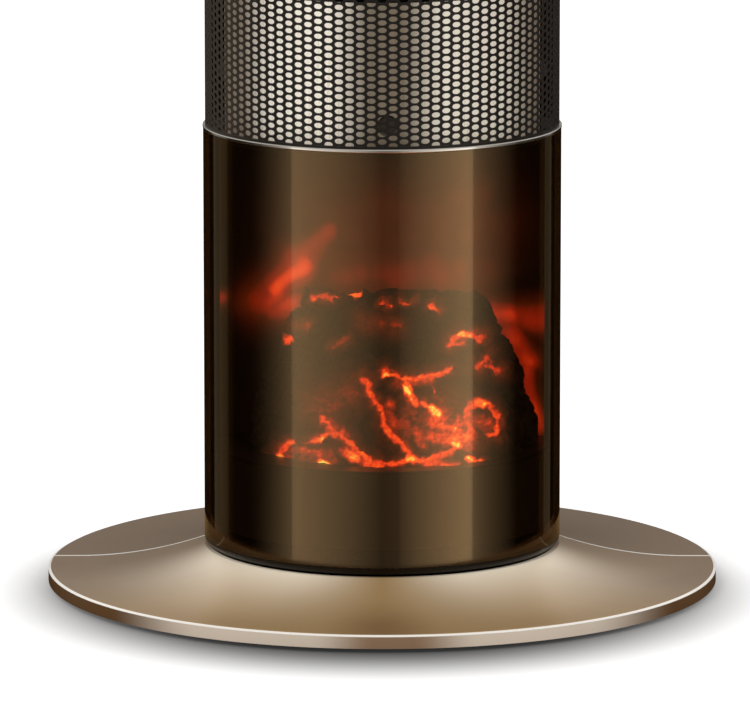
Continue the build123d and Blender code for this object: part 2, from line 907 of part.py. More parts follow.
def ember_plan(radius, twist, depth_back):
    """A lumpy outline of the ember mound, round at the front and straight at the back."""
    points = []
    for i in range(bed_sides + 1):
        angle = pi + pi * i / bed_sides
        lump = 1 + 0.035 * sin(5 * angle + twist) + 0.025 * sin(9 * angle + 2 * twist)
        points.append((bed_shift_x + radius * lump * cos(angle), radius * lump * sin(angle)))
    points.append((points[-1][0], depth_back))
    points.append((points[0][0], depth_back))
    return points


bed_z = tray_z + tray_t
bed_top_z = tray_z + bed_rise
bed_h = bed_top_z - bed_z
bed_r = chamber_r - bed_inset
bed_back_y = screen_y - bed_back_gap
bed_levels = 5
bed_twist = 0.8


def ember_level(i):
    """Height and radius of one level of the mound, whose sides lean in more and more with height."""
    rise = i / (bed_levels - 1)
    return bed_z + bed_h * rise, bed_r - (bed_r - bed_crown_r) * rise**bed_round


with BuildPart() as ember_bed:
    for i in range(bed_levels):
        level_z, level_r = ember_level(i)
        with BuildSketch(Plane.XY.offset(level_z)):
            with BuildLine():
                Polyline(*ember_plan(level_r, bed_twist * i, bed_back_y), close=True)
            make_face()
    loft(ruled=True)
    for i in range(bed_levels):
        level_z, level_r = ember_level(i)
        hollow_z = bed_z + (level_z - bed_z) * (bed_h - bed_wall) / bed_h
        with BuildSketch(Plane.XY.offset(hollow_z)):
            with BuildLine():
                hollow = ember_plan(level_r - bed_side_wall, bed_twist * i, bed_back_y)
                Polyline(*hollow, close=True)
            make_face()
    loft(ruled=True, mode=Mode.SUBTRACT)
ember_bed.part.label = "ember_bed"

lamp_board_t = 1.6
lamp_board_w = 1.18 * bed_r
lamp_board_d = 0.51 * bed_r
lamp_board_y = -0.42 * bed_r
lamp_w = 5.0
lamp_h = 2.0

with BuildPart() as lamp_board:
    with BuildSketch(Plane.XY.offset(bed_z)):
        with Locations((bed_shift_x, lamp_board_y)):
            Rectangle(lamp_board_w, lamp_board_d)
    extrude(amount=lamp_board_t)
    with BuildSketch(Plane.XY.offset(bed_z + lamp_board_t)):
        with Locations((bed_shift_x, lamp_board_y)):
            with GridLocations(lamp_board_w / 3.6, lamp_board_d / 1.9, 4, 2):
                Rectangle(lamp_w, lamp_w)
    extrude(amount=lamp_h)
lamp_board.part.label = "lamp_board"

screen_w = 2 * (sqrt(chamber_r**2 - (screen_y + screen_t) ** 2) - screen_fit)

with BuildPart() as flame_screen:
    with BuildSketch(front_plane(screen_y + screen_t)):
        with Locations((0, (bed_z + ledge_z) / 2)):
            Rectangle(screen_w, ledge_z - bed_z)
    extrude(amount=screen_t)
flame_screen.part.label = "flame_screen"

bracket_t = 2.0
bracket_w = 20.0
bracket_taper = 4.0
bracket_foot_l = 8.0
bracket_foot_t = 1.6
bracket_ear = 7.0
spindle_shift = 4.5
spindle_y = (screen_y + screen_t + board_y) / 2 - spindle_shift
spindle_z = tray_z + spindle_rise
spindle_span = 2 * (chamber_r - spindle_inset)
bracket_x = spindle_span / 2
petal_rows = 5
petals_per_row = 4
petal_w = 9.0
petal_t = 0.6

with BuildPart() as spindle_brackets:
    for side in (-1, 1):
        with BuildSketch(Plane.YZ.offset(side * bracket_x - bracket_t / 2)):
            with BuildLine():
                top = spindle_z + bracket_ear
                Polyline(
                    (spindle_y - bracket_w / 2, bed_z),
                    (spindle_y + bracket_w / 2, bed_z),
                    (spindle_y + bracket_w / 2 - bracket_taper, top),
                    (spindle_y - bracket_w / 2 + bracket_taper, top),
                    close=True,
                )
            make_face()
            with Locations((spindle_y, spindle_z)):
                Circle(spindle_r + shaft_fit, mode=Mode.SUBTRACT)
        extrude(amount=bracket_t)
        with BuildSketch(Plane.XY.offset(bed_z)):
            with Locations((side * (bracket_x - bracket_foot_l / 2), spindle_y)):
                Rectangle(bracket_foot_l + bracket_t, bracket_w)
        extrude(amount=bracket_foot_t)
spindle_brackets.part.label = "spindle_brackets"

spindle_motor_r = 10.0
spindle_motor_l = 9.0
spindle_tip = 3.0
spindle_tail = 1.0
spindle_end_play = 0.3
petal_end_gap = 6.0
petal_turn = 36.0

with BuildPart() as spindle_motor:
    with BuildSketch(Plane.YZ.offset(bracket_x + bracket_t / 2)):
        with Locations((spindle_y, spindle_z)):
            Circle(spindle_motor_r)
    extrude(amount=spindle_motor_l)
    with BuildSketch(Plane.YZ.offset(bracket_x + bracket_t / 2)):
        with Locations((spindle_y, spindle_z)):
            Circle(spindle_r + shaft_fit)
    extrude(amount=spindle_tip + spindle_end_play, mode=Mode.SUBTRACT)
spindle_motor.part.label = "spindle_motor"

with BuildPart() as flame_spindle:
    rod_start = -bracket_x - bracket_t / 2 - spindle_tail
    rod_end = bracket_x + bracket_t / 2 + spindle_tip
    with BuildSketch(Plane.YZ.offset(rod_start)):
        with Locations((spindle_y, spindle_z)):
            Circle(spindle_r)
    extrude(amount=rod_end - rod_start)
    row_pitch = (spindle_span - 2 * petal_end_gap) / petal_rows
    for row in range(petal_rows):
        row_x = (row - (petal_rows - 1) / 2) * row_pitch
        with BuildSketch(Plane.YZ.offset(row_x - petal_w / 2)):
            for k in range(petals_per_row):
                turn = petal_turn * row + 360 / petals_per_row * k
                with Locations(Location((spindle_y, spindle_z, 0), (0, 0, turn))):
                    with Locations((petal_reach / 2, 0)):
                        Rectangle(petal_reach, petal_t)
        extrude(amount=petal_w)
flame_spindle.part.label = "flame_spindle"


# Middle: trim ring, deck, blower motor and the plate behind the foot of the grille

trim_w = 9.0
trim_inner_r = column_r - trim_w
trim_bevel = 0.4
deck_fit = 0.5
deck_r = column_inner_r - deck_fit
wire_hole_inset = 19.0
wire_hole_ring_r = column_r - wire_hole_inset
wire_hole_angle = 139.0


def trim_profile(z):
    """Section of a bright trim ring, with its outer edges broken."""
    with BuildSketch(Plane.XZ) as section:
        with BuildLine():
            outer = column_r + trim_proud
            Polyline(
                (outer - trim_bevel, z),
                (trim_inner_r, z),
                (trim_inner_r, z + trim_h),
                (outer - trim_bevel, z + trim_h),
                (outer, z + trim_h - trim_bevel),
                (outer, z + trim_bevel),
                close=True,
            )
        make_face()
    return section.sketch


with BuildPart() as trim_ring:
    revolve(trim_profile(trim_z), axis=Axis.Z)
trim_ring.part.label = "trim_ring"

plate_post_x = 2.5
plate_post_depth = 11.5
plate_post_y = plate_post_depth - plate_r
plate_screw_rise = 9.2
plate_screw_z = grille_z + plate_screw_rise
plate_screw_r = 1.45
plate_screw_play = 0.35
plate_screw_head_r = 3.4
plate_screw_head_h = 2.0
plate_screw_l = 6.0
dimple_r = 4.8
dimple_wall = 1.0
dimple_floor = 1.2
post_w = 12.0
post_d = 7.0
post_top_z = plate_screw_z + 7.0

with BuildPart() as middle_deck:
    with BuildSketch(Plane.XY.offset(deck_z)):
        Circle(deck_r)
        with PolarLocations(wire_hole_ring_r, 1, start_angle=wire_hole_angle):
            Circle(wire_hole_r, mode=Mode.SUBTRACT)
    extrude(amount=deck_t)
    with BuildSketch(Plane.XY.offset(window_top_z)):
        with Locations((plate_post_x, plate_post_y)):
            Rectangle(post_w, post_d)
    extrude(amount=post_top_z - window_top_z)
    post_front_y = plate_post_y - post_d / 2
    with BuildSketch(front_plane(post_front_y)):
        with Locations((plate_post_x, plate_screw_z)):
            Circle(plate_screw_r + 0.05)
    extrude(amount=-plate_screw_l, mode=Mode.SUBTRACT)
middle_deck.part.label = "middle_deck"

with BuildPart() as backing_plate:
    with BuildSketch(Plane.XY.offset(grille_z)):
        add(arc_band(plate_r, plate_r - plate_t, 270 - plate_half_angle, 270 + plate_half_angle))
    extrude(amount=plate_top_z - grille_z)
    with BuildSketch(front_plane(post_front_y)):
        with Locations((plate_post_x, plate_screw_z)):
            Circle(dimple_r + dimple_wall)
    extrude(amount=plate_r + post_front_y - 0.6)
    with BuildSketch(front_plane(post_front_y - dimple_floor)):
        with Locations((plate_post_x, plate_screw_z)):
            Circle(dimple_r)
    extrude(amount=12, mode=Mode.SUBTRACT)
    with BuildSketch(front_plane(post_front_y)):
        with Locations((plate_post_x, plate_screw_z)):
            Circle(plate_screw_r + plate_screw_play)
    extrude(amount=dimple_floor, mode=Mode.SUBTRACT)
backing_plate.part.label = "backing_plate"

with BuildPart() as plate_screw:
    with BuildSketch(front_plane(post_front_y - dimple_floor)):
        with Locations((plate_post_x, plate_screw_z)):
            Circle(plate_screw_head_r)
    extrude(amount=plate_screw_head_h)
    with BuildSketch(front_plane(post_front_y - dimple_floor)):
        with Locations((plate_post_x, plate_screw_z)):
            Circle(plate_screw_r)
    extrude(amount=-plate_screw_l)
plate_screw.part.label = "plate_screw"

motor_collar_r = 9.0
motor_collar_h = 6.0
motor_round = 3.0
motor_foot_reach = 5.0
motor_foot_w = 12.0
motor_foot_t = 2.0
shaft_rise = 14.0
shaft_end_play = 0.5
shaft_bottom_z = window_top_z + shaft_rise

with BuildPart() as fan_motor:
    with BuildSketch(Plane.XY.offset(window_top_z)):
        with Locations((0, rotor_y)):
            Circle(motor_r)
    extrude(amount=motor_h)
    fillet(fan_motor.edges().group_by(Axis.Z)[-1], radius=motor_round)
    with BuildSketch(Plane.XY.offset(window_top_z + motor_h)):
        with Locations((0, rotor_y)):
            Circle(motor_collar_r)
    extrude(amount=motor_collar_h)
    with BuildSketch(Plane.XY.offset(window_top_z)):
        with Locations((0, rotor_y)):
            Rectangle(2 * (motor_r + motor_foot_reach), motor_foot_w)
    extrude(amount=motor_foot_t)
    with BuildSketch(Plane.XY.offset(shaft_bottom_z - shaft_end_play)):
        with Locations((0, rotor_y)):
            Circle(shaft_r + shaft_fit)
    extrude(amount=motor_h + motor_collar_h, mode=Mode.SUBTRACT)
fan_motor.part.label = "fan_motor"


# Blower: crossflow rotor, casing around it, tongue and bearing

rotor_disc_t = 2.0
blade_w = 8.0
blade_bend_w = 3.5
blade_rim = 0.6
blade_inner_r = rotor_r - blade_w
blade_bend_r = rotor_r - blade_bend_w
blade_lean = 5.0
casing_floor_z = plate_top_z - 2.0
casing_floor_t = 2.0
heater_over_rotor = 8.0
heater_top_z = rotor_top_z + heater_over_rotor
head_deck_z = heater_top_z
bearing_h = 10.0
bearing_r = 8.0
bearing_flange_r = 11.0
bearing_flange_t = 2.0
shaft_top_gap = 2.0

with BuildPart() as fan_rotor:
    with BuildSketch(Plane.XY.offset(rotor_bottom_z)):
        with Locations((0, rotor_y)):
            with BuildLine(mode=Mode.PRIVATE) as blade_line:
                Polyline(
                    (blade_inner_r, 0),
                    (blade_bend_r, blade_lean / 3),
                    (rotor_r - blade_rim, blade_lean),
                )
            blade = trace(blade_line.line, line_width=blade_t, mode=Mode.PRIVATE).face()
            with PolarLocations(0, rotor_blades):
                add(blade)
    extrude(amount=rotor_h)
    for disc_z in (rotor_bottom_z, rotor_bottom_z + rotor_h / 2, rotor_top_z - rotor_disc_t):
        with BuildSketch(Plane.XY.offset(disc_z)):
            with Locations((0, rotor_y)):
                Circle(rotor_r)
        extrude(amount=rotor_disc_t)
    with BuildSketch(Plane.XY.offset(shaft_bottom_z)):
        with Locations((0, rotor_y)):
            Circle(shaft_r)
    extrude(amount=head_deck_z + bearing_h - shaft_top_gap - shaft_bottom_z)
fan_rotor.part.label = "fan_rotor"

casing_t = 1.8
casing_gap = 3.0
scroll_growth = 14.0
scroll_start = 78.0
scroll_middle = 150.0
scroll_end = 190.0
heater_seat = 0.2
casing_post_r = 4.0
rear_post_gap = 10.0
rear_post_x = motor_r + rear_post_gap
front_post_x = 28.0
front_post_y = -18.0
outlet_x = heater_w / 2 - casing_t / 2

with BuildPart() as scroll_casing:
    scroll_z = casing_floor_z + casing_floor_t
    with BuildSketch(Plane.XY.offset(scroll_z)):
        with BuildLine(mode=Mode.PRIVATE) as scroll_line:
            start_angle = radians(scroll_start)
            mid_angle = radians(scroll_middle)
            end_angle = radians(scroll_end)
            near = rotor_r + casing_gap
            far = rotor_r + scroll_growth
            mid_r = (near + far) / 2
            wall_start = (near * cos(start_angle), rotor_y + near * sin(start_angle))
            wall_mid = (mid_r * cos(mid_angle), rotor_y + mid_r * sin(mid_angle))
            wall_end = (far * cos(end_angle), rotor_y + far * sin(end_angle))
            ThreePointArc(wall_start, wall_mid, wall_end)
            Line(wall_end, (-outlet_x, heater_back_y + heater_seat))
        trace(scroll_line.line, line_width=casing_t)
    extrude(amount=heater_top_z - scroll_z)
    with BuildSketch(Plane.XY.offset(casing_floor_z)):
        with Locations((0, rotor_y)):
            Circle(far + casing_t)
        with Locations((0, (heater_back_y + rotor_y) / 2)):
            Rectangle(heater_w, rotor_y - heater_back_y)
        with Locations((0, rotor_y)):
            Circle(motor_collar_r + 1, mode=Mode.SUBTRACT)
    extrude(amount=casing_floor_t)
scroll_casing.part.label = "scroll_casing"

with BuildPart() as casing_tongue:
    with BuildSketch(Plane.XY.offset(scroll_z)):
        with BuildLine(mode=Mode.PRIVATE) as tongue_line:
            Polyline(
                (outlet_x, heater_back_y + heater_seat),
                (outlet_x, rotor_y - 18),
                (near + 0.6, rotor_y - 6),
                (near + 8, rotor_y + 4),
            )
        trace(tongue_line.line, line_width=casing_t)
    extrude(amount=heater_top_z - scroll_z)
casing_tongue.part.label = "casing_tongue"

with BuildPart() as casing_posts:
    post_z = window_top_z
    with BuildSketch(Plane.XY.offset(post_z)):
        for side in (-1, 1):
            with Locations((side * rear_post_x, rotor_y), (side * front_post_x, front_post_y)):
                Circle(casing_post_r)
    extrude(amount=casing_floor_z - post_z)
casing_posts.part.label = "casing_posts"

with BuildPart() as rotor_bearing:
    with BuildSketch(Plane.XY.offset(head_deck_z)):
        with Locations((0, rotor_y)):
            Circle(bearing_r)
            Circle(shaft_r + shaft_fit, mode=Mode.SUBTRACT)
    extrude(amount=bearing_h)
    with BuildSketch(Plane.XY.offset(head_deck_z + deck_t)):
        with Locations((0, rotor_y)):
            Circle(bearing_flange_r)
            Circle(shaft_r + shaft_fit, mode=Mode.SUBTRACT)
    extrude(amount=bearing_flange_t)
rotor_bearing.part.label = "rotor_bearing"


# Heater: ceramic bars between folded fins in a frame, with its two cut-outs

heater_z = scroll_z
heater_h = heater_top_z - heater_z
core_w = heater_w - 2 * heater_border
core_h = heater_h - 2 * heater_border
core_inset = 2.0
core_d = heater_d - 2 * core_inset
core_y = heater_back_y - core_inset
fin_w = (core_w - ceramic_bars * ceramic_w) / (ceramic_bars + 1)
core_pitch = fin_w + ceramic_w
core_mid_z = heater_z + heater_h / 2

with BuildPart() as heater_frame:
    with BuildSketch(front_plane(heater_back_y)):
        with Locations((0, core_mid_z)):
            Rectangle(heater_w, heater_h)
            Rectangle(core_w, core_h, mode=Mode.SUBTRACT)
    extrude(amount=heater_d)
heater_frame.part.label = "heater_frame"

with BuildPart() as ceramic_elements:
    with BuildSketch(front_plane(core_y)):
        with Locations((0, core_mid_z)):
            with GridLocations(core_pitch, 0, ceramic_bars, 1):
                Rectangle(ceramic_w, core_h)
    extrude(amount=core_d)
ceramic_elements.part.label = "ceramic_elements"

with BuildPart() as heater_fins:
    folds = int(core_h / fin_pitch) * 2
    fold_h = core_h / folds
    for strip in range(ceramic_bars + 1):
        left = -core_w / 2 + strip * core_pitch
        bottom = heater_z + heater_border
        zigzag = []
        for i in range(folds + 1):
            zigzag.append((left + (fin_w - fin_t if i % 2 else 0), bottom + fold_h * i))
        back = [(x + fin_t, z) for x, z in reversed(zigzag)]
        with BuildSketch(front_plane(core_y)):
            with BuildLine():
                Polyline(*zigzag, *back, close=True)
            make_face()
        extrude(amount=core_d)
heater_fins.part.label = "heater_fins"

disc_cutout_r = 7.0
disc_cutout_t = 6.0
disc_cutout_drop = 40.0
disc_cutout_shift = 4.5
fuse_r = 2.0
fuse_l = 16.0
fuse_drop = 90.0
frame_side_x = heater_border - heater_w / 2

with BuildPart() as thermal_cutouts:
    with BuildSketch(front_plane(heater_back_y + disc_cutout_t)):
        with Locations((frame_side_x + disc_cutout_shift, heater_top_z - disc_cutout_drop)):
            Circle(disc_cutout_r)
    extrude(amount=disc_cutout_t)
    with BuildSketch(Plane.XY.offset(heater_top_z - fuse_drop)):
        with Locations((frame_side_x - fuse_r / 2, heater_back_y + fuse_r)):
            Circle(fuse_r)
    extrude(amount=fuse_l)
thermal_cutouts.part.label = "thermal_cutouts"

head_deck_fit = 0.4
head_deck_r = grille_r - housing_wall - head_deck_fit

with BuildPart() as head_deck:
    with BuildSketch(Plane.XY.offset(head_deck_z)):
        Circle(head_deck_r)
        with Locations((0, rotor_y)):
            Circle(bearing_r, mode=Mode.SUBTRACT)
        with PolarLocations(wire_hole_ring_r, 1, start_angle=wire_hole_angle):
            Circle(wire_hole_r, mode=Mode.SUBTRACT)
        for side in (-1, 1):
            with Locations((side * grille_r, grille_edge_y - flange_t / 2)):
                Rectangle(2 * flange_w + 2.4, flange_t + flange_play, mode=Mode.SUBTRACT)
    extrude(amount=deck_t)
head_deck.part.label = "head_deck"


# Front grille: a half round shell pierced with staggered pointed holes, and the rear housing

housing_edge_y = grille_edge_y + joint_gap
shell_boss_inset = 10.0
shell_boss_x = grille_r - shell_boss_inset
shell_boss_r = 4.4
shell_boss_l = 9.0
shell_screw_r = 1.7
shell_screw_l = 6.5
shell_screw_zs = (grille_z + 24, upper_trim_z - 16)
shell_head_r = 3.2
shell_head_h = 2.2
shell_head_y = 24.0
shell_head_play = 0.2
border = 4.0
mesh_arc = 180 - 2 * mesh_margin_angle
mesh_band = grille_h - 2 * border
mesh_pitch_z = mesh_band / (mesh_rows + 0.5)
mesh_pitch_a = mesh_arc / mesh_columns
hole_w = 2 * grille_r * sin(radians(mesh_pitch_a / 2)) - mesh_tip_web
hole_h = mesh_pitch_z - mesh_web
hole_tip = 0.3 * hole_w

with BuildPart() as front_grille:
    # The sheet is folded into one narrow panel for each column of holes
    edge_angle = degrees(asin(-grille_edge_y / grille_r))
    folds_at = [270 - mesh_arc / 2 + mesh_pitch_a * i for i in range(mesh_columns + 1)]
    corners = [radians(a) for a in (180 + edge_angle, *folds_at, 360 - edge_angle)]
    with BuildSketch(Plane.XY.offset(grille_z)):
        with BuildLine():
            outside = [(grille_r * cos(a), grille_r * sin(a)) for a in corners]
            inside = [(grille_inner_r * cos(a), grille_inner_r * sin(a)) for a in reversed(corners)]
            Polyline(*outside, *inside, close=True)
        make_face()
    extrude(amount=grille_h)
    with BuildSketch(Plane.XY.offset(grille_z)):
        for side in (-1, 1):
            with Locations((side * (grille_r - flange_w / 2 - 0.6), grille_edge_y - flange_t / 2)):
                Rectangle(flange_w, flange_t)
    extrude(amount=grille_h)
    with BuildSketch(front_plane(grille_edge_y)):
        for z in shell_screw_zs:
            with Locations((-shell_boss_x, z), (shell_boss_x, z)):
                Circle(shell_boss_r)
    extrude(amount=shell_boss_l)
    split(bisect_by=Plane(origin=(0, grille_edge_y, 0), z_dir=(0, 1, 0)), keep=Keep.BOTTOM)
    with BuildSketch(front_plane(grille_edge_y)):
        for z in shell_screw_zs:
            with Locations((-shell_boss_x, z), (shell_boss_x, z)):
                Circle(shell_screw_r)
    extrude(amount=shell_screw_l + 0.5, mode=Mode.SUBTRACT)
    for c in range(mesh_columns):
        column_angle = 270 - mesh_arc / 2 + (c + 0.5) * mesh_pitch_a
        shift = 0.5 * mesh_pitch_z if c % 2 else 0.0
        holes_mid_z = grille_z + border + mesh_band / 2 - 0.25 * mesh_pitch_z + shift
        with BuildSketch(radial_plane(column_angle, grille_r + 1, holes_mid_z)):
            with GridLocations(0, mesh_pitch_z, 1, mesh_rows):
                with BuildLine(mode=Mode.PRIVATE) as hole_rim:
                    Polyline(
                        (-hole_w / 2, 0),
                        (-hole_w / 2 + hole_tip, -hole_h / 2),
                        (hole_w / 2 - hole_tip, -hole_h / 2),
                        (hole_w / 2, 0),
                        (hole_w / 2 - hole_tip, hole_h / 2),
                        (-hole_w / 2 + hole_tip, hole_h / 2),
                        close=True,
                    )
                add(make_face(hole_rim.edges(), mode=Mode.PRIVATE))
        extrude(amount=-(grille_wall + 4), mode=Mode.SUBTRACT)
front_grille.part.label = "front_grille"

slot_w = 4.6
slot_h = 68.0
slot_columns = 11
slot_rows = 4
slot_step_a = 7.2
slot_pitch_z = 80.0
housing_inner_r = grille_r - housing_wall
housing_flange_w = 6.0
housing_flange_t = 2.4

with BuildPart() as rear_housing:
    with BuildSketch(Plane.XY.offset(grille_z)):
        add(ring_face(grille_r, housing_inner_r))
    extrude(amount=grille_h)
    with BuildSketch(Plane.XY.offset(grille_z)):
        add(ring_face(housing_inner_r + weld, housing_inner_r - housing_flange_w))
    extrude(amount=housing_flange_t)
    with BuildSketch(front_plane(housing_edge_y)):
        for z in shell_screw_zs:
            with Locations((-shell_boss_x, z), (shell_boss_x, z)):
                Circle(shell_boss_r)
    extrude(amount=-(sqrt(grille_r**2 - shell_boss_x**2) - housing_edge_y))
    with BuildSketch(Plane.XY.offset(grille_z)):
        add(ring_face(grille_r + 20, grille_r))
    extrude(amount=grille_h, mode=Mode.SUBTRACT)
    split(bisect_by=Plane(origin=(0, housing_edge_y, 0), z_dir=(0, 1, 0)), keep=Keep.TOP)
    with BuildSketch(front_plane(grille_r)):
        for z in shell_screw_zs:
            with Locations((-shell_boss_x, z), (shell_boss_x, z)):
                Circle(shell_screw_r + shell_head_play)
    extrude(amount=grille_r - housing_edge_y + 1, mode=Mode.SUBTRACT)
    with BuildSketch(front_plane(grille_r)):
        for z in shell_screw_zs:
            with Locations((-shell_boss_x, z), (shell_boss_x, z)):
                Circle(shell_head_r + shell_head_play)
    extrude(amount=grille_r - shell_head_y, mode=Mode.SUBTRACT)
    slots_z = (rotor_bottom_z + heater_top_z) / 2
    for c in range(slot_columns):
        slot_angle = 90 + slot_step_a * (c - (slot_columns - 1) / 2)
        with BuildSketch(radial_plane(slot_angle, grille_r + 1, slots_z)):
            with GridLocations(0, slot_pitch_z, 1, slot_rows):
                Rectangle(slot_w, slot_h)
        extrude(amount=-(housing_wall + 6), mode=Mode.SUBTRACT)
rear_housing.part.label = "rear_housing"

with BuildPart() as case_screws:
    with BuildSketch(front_plane(shell_head_y + shell_head_h)):
        for z in shell_screw_zs:
            with Locations((-shell_boss_x, z), (shell_boss_x, z)):
                Circle(shell_head_r)
    extrude(amount=shell_head_h)
    with BuildSketch(front_plane(shell_head_y)):
        for z in shell_screw_zs:
            with Locations((-shell_boss_x, z), (shell_boss_x, z)):
                Circle(shell_screw_r)
    extrude(amount=shell_head_y - grille_edge_y + shell_screw_l)
case_screws.part.label = "case_screws"


# Head: upper trim, shell with the display, the grip at the back and the cap with its keys

with BuildPart() as upper_trim_ring:
    revolve(trim_profile(upper_trim_z), axis=Axis.Z)
upper_trim_ring.part.label = "upper_trim_ring"

lens_h = head_h - lens_margin
lens_drop = 3.0
lens_lip_t = 1.6
lens_lip_r = column_inner_r - 0.2
lens_z = head_z + head_h / 2 - lens_drop
lens_rim = 2.0
lens_rim_angle = degrees(lens_rim / column_inner_r)
lens_fit = 0.3
lens_fit_angle = degrees(lens_fit / column_r)
grip_level = 0.46
grip_z = head_z + grip_level * head_h
ir_rise = 5.2
ir_play = 0.1
ir_z = head_z + ir_rise
ir_r = 3.0
display_depth = 20.0
display_y = display_depth - column_r
display_edge_angle = radians(lens_half_angle + lens_rim_angle)
display_w = 2 * (column_inner_r * sin(display_edge_angle) + 0.4)
display_h = 34.0
cheek_t = 2.4
cheek_fit = 0.3
cheek_x = display_w / 2 + cheek_fit + cheek_t / 2
cheek_reach = sqrt((column_r - 1.2) ** 2 - (cheek_x + cheek_t / 2) ** 2)
cheek_d = cheek_reach + display_y

with BuildPart() as head_shell:
    with BuildSketch(Plane.XY.offset(head_z)):
        add(ring_face(column_r, column_inner_r))
    extrude(amount=head_h)
    with BuildSketch(Plane.XY.offset(lens_z - lens_h / 2 - lens_fit)):
        add(arc_band(
            column_r + 1,
            column_inner_r - 1,
            270 - lens_half_angle - lens_fit_angle,
            270 + lens_half_angle + lens_fit_angle,
        ))
    extrude(amount=lens_h + 2 * lens_fit, mode=Mode.SUBTRACT)
    with BuildSketch(front_plane(column_r + 1)):
        with Locations((0, grip_z)):
            Rectangle(grip_w + 2 * grip_wall + 0.4, grip_h + 2 * grip_wall + 0.4)
    extrude(amount=40, mode=Mode.SUBTRACT)
    with BuildSketch(front_plane(-column_r + 8)):
        with Locations((0, ir_z)):
            Circle(ir_r + ir_play)
    extrude(amount=10, mode=Mode.SUBTRACT)

    # Cheeks that carry the display board
    with BuildSketch(Plane.XY.offset(lens_z - display_h / 2)):
        for side in (-1, 1):
            with Locations((side * cheek_x, display_y - cheek_d / 2)):
                Rectangle(cheek_t, cheek_d)
    extrude(amount=display_h)
    with BuildSketch(Plane.XY.offset(head_z)):
        add(ring_face(column_inner_r + 0.5, trim_inner_r + 1))
    extrude(amount=2.0)
head_shell.part.label = "head_shell"

with BuildPart() as display_lens:
    with BuildSketch(Plane.XY.offset(lens_z - lens_h / 2)):
        add(arc_band(
            column_r,
            lens_lip_r,
            270 - lens_half_angle,
            270 + lens_half_angle,
        ))
    extrude(amount=lens_h)
    with BuildSketch(Plane.XY.offset(lens_z - lens_h / 2 - lens_rim)):
        add(arc_band(
            lens_lip_r,
            lens_lip_r - lens_lip_t,
            270 - lens_half_angle - lens_rim_angle,
            270 + lens_half_angle + lens_rim_angle,
        ))
    extrude(amount=lens_h + 2 * lens_rim)
display_lens.part.label = "display_lens"

digit_block_w = 44.0
digit_block_h = 20.0
digit_block_t = 7.0

with BuildPart() as display_board:
    with BuildSketch(front_plane(display_y)):
        with Locations((0, lens_z)):
            Rectangle(display_w, display_h)
    extrude(amount=board_t)
    with BuildSketch(front_plane(display_y - board_t)):
        with Locations((0, lens_z)):
            Rectangle(digit_block_w, digit_block_h)
    extrude(amount=digit_block_t)
display_board.part.label = "display_board"

with BuildPart() as ir_window:
    with BuildSketch(front_plane(-column_r + 6)):
        with Locations((0, ir_z)):
            Circle(ir_r)
    extrude(amount=5.7)
ir_window.part.label = "ir_window"

with BuildPart() as grip_recess:
    grip_back_y = column_r - grip_depth - grip_wall
    with BuildSketch(front_plane(column_r)):
        with Locations((0, grip_z)):
            Rectangle(grip_w + 2 * grip_wall, grip_h + 2 * grip_wall)
    extrude(amount=column_r - grip_back_y)
    with BuildSketch(front_plane(column_r)):
        with Locations((0, grip_z)):
            Rectangle(grip_w, grip_h)
    extrude(amount=grip_depth, mode=Mode.SUBTRACT)
    with BuildSketch(Plane.XY.offset(head_z)):
        add(ring_face(column_r + 40, column_r - 0.4))
    extrude(amount=head_h, mode=Mode.SUBTRACT)
grip_recess.part.label = "grip_recess"

cap_wall = 2.2
cap_round_w = 20.0
cap_flat_r = column_r - cap_round_w
cap_side_top_z = cap_z + cap_side_h
cap_under_z = cap_top_z - cap_wall
key_board_drop = 14.0
key_board_top_z = cap_under_z - key_board_drop
key_board_t = 1.6
cap_spigot_h = 6.0
cap_post_r = 3.0
cap_post_reach = 14.0
cap_post_ring_r = key_ring_r + cap_post_reach
cap_spigot_inner_r = column_inner_r - 2.4
cap_post_angles = (195, 240, 300, 345)
key_angles = [270 + key_spread * (i - (key_count - 1) / 2) for i in range(key_count)]

with BuildPart() as top_cap:
    with BuildSketch(Plane.XZ):
        with BuildLine():
            shoulder = (column_r, cap_side_top_z)
            crown = (cap_flat_r, cap_top_z)
            TangentArc(shoulder, crown, tangent=(0, 1))
            Line(crown, (0, cap_top_z))
            Line((0, cap_top_z), (0, cap_under_z))
            Line((0, cap_under_z), (cap_flat_r, cap_under_z))
            inner_shoulder = (column_r - cap_wall, cap_side_top_z)
            TangentArc(inner_shoulder, (cap_flat_r, cap_under_z), tangent=(0, 1))
            Line(inner_shoulder, (column_r - cap_wall, cap_z))
            Line((column_r - cap_wall, cap_z), (column_r, cap_z))
            Line((column_r, cap_z), shoulder)
        make_face()
    revolve(axis=Axis.Z)
    with BuildSketch(Plane.XY.offset(cap_z - cap_spigot_h)):
        add(ring_face(column_inner_r - seat_fit, cap_spigot_inner_r))
    extrude(amount=cap_spigot_h + 4)
    with BuildSketch(Plane.XY.offset(cap_z)):
        add(ring_face(column_r - cap_wall / 2, cap_spigot_inner_r))
    extrude(amount=3)
    with BuildSketch(Plane.XY.offset(key_board_top_z)):
        for angle in cap_post_angles:
            with PolarLocations(cap_post_ring_r, 1, start_angle=angle):
                Circle(cap_post_r)
    extrude(amount=cap_under_z - key_board_top_z)
    with BuildSketch(Plane.XY.offset(cap_under_z)):
        for angle in key_angles:
            with PolarLocations(key_ring_r, 1, start_angle=angle):
                Circle(key_r + key_fit)
    extrude(amount=cap_wall, mode=Mode.SUBTRACT)
top_cap.part.label = "top_cap"

tact_h = 3.4
tact_w = 6.0
key_board_reach = 21.0
key_board_depth = 16.0
key_board_half_angle = 82.0

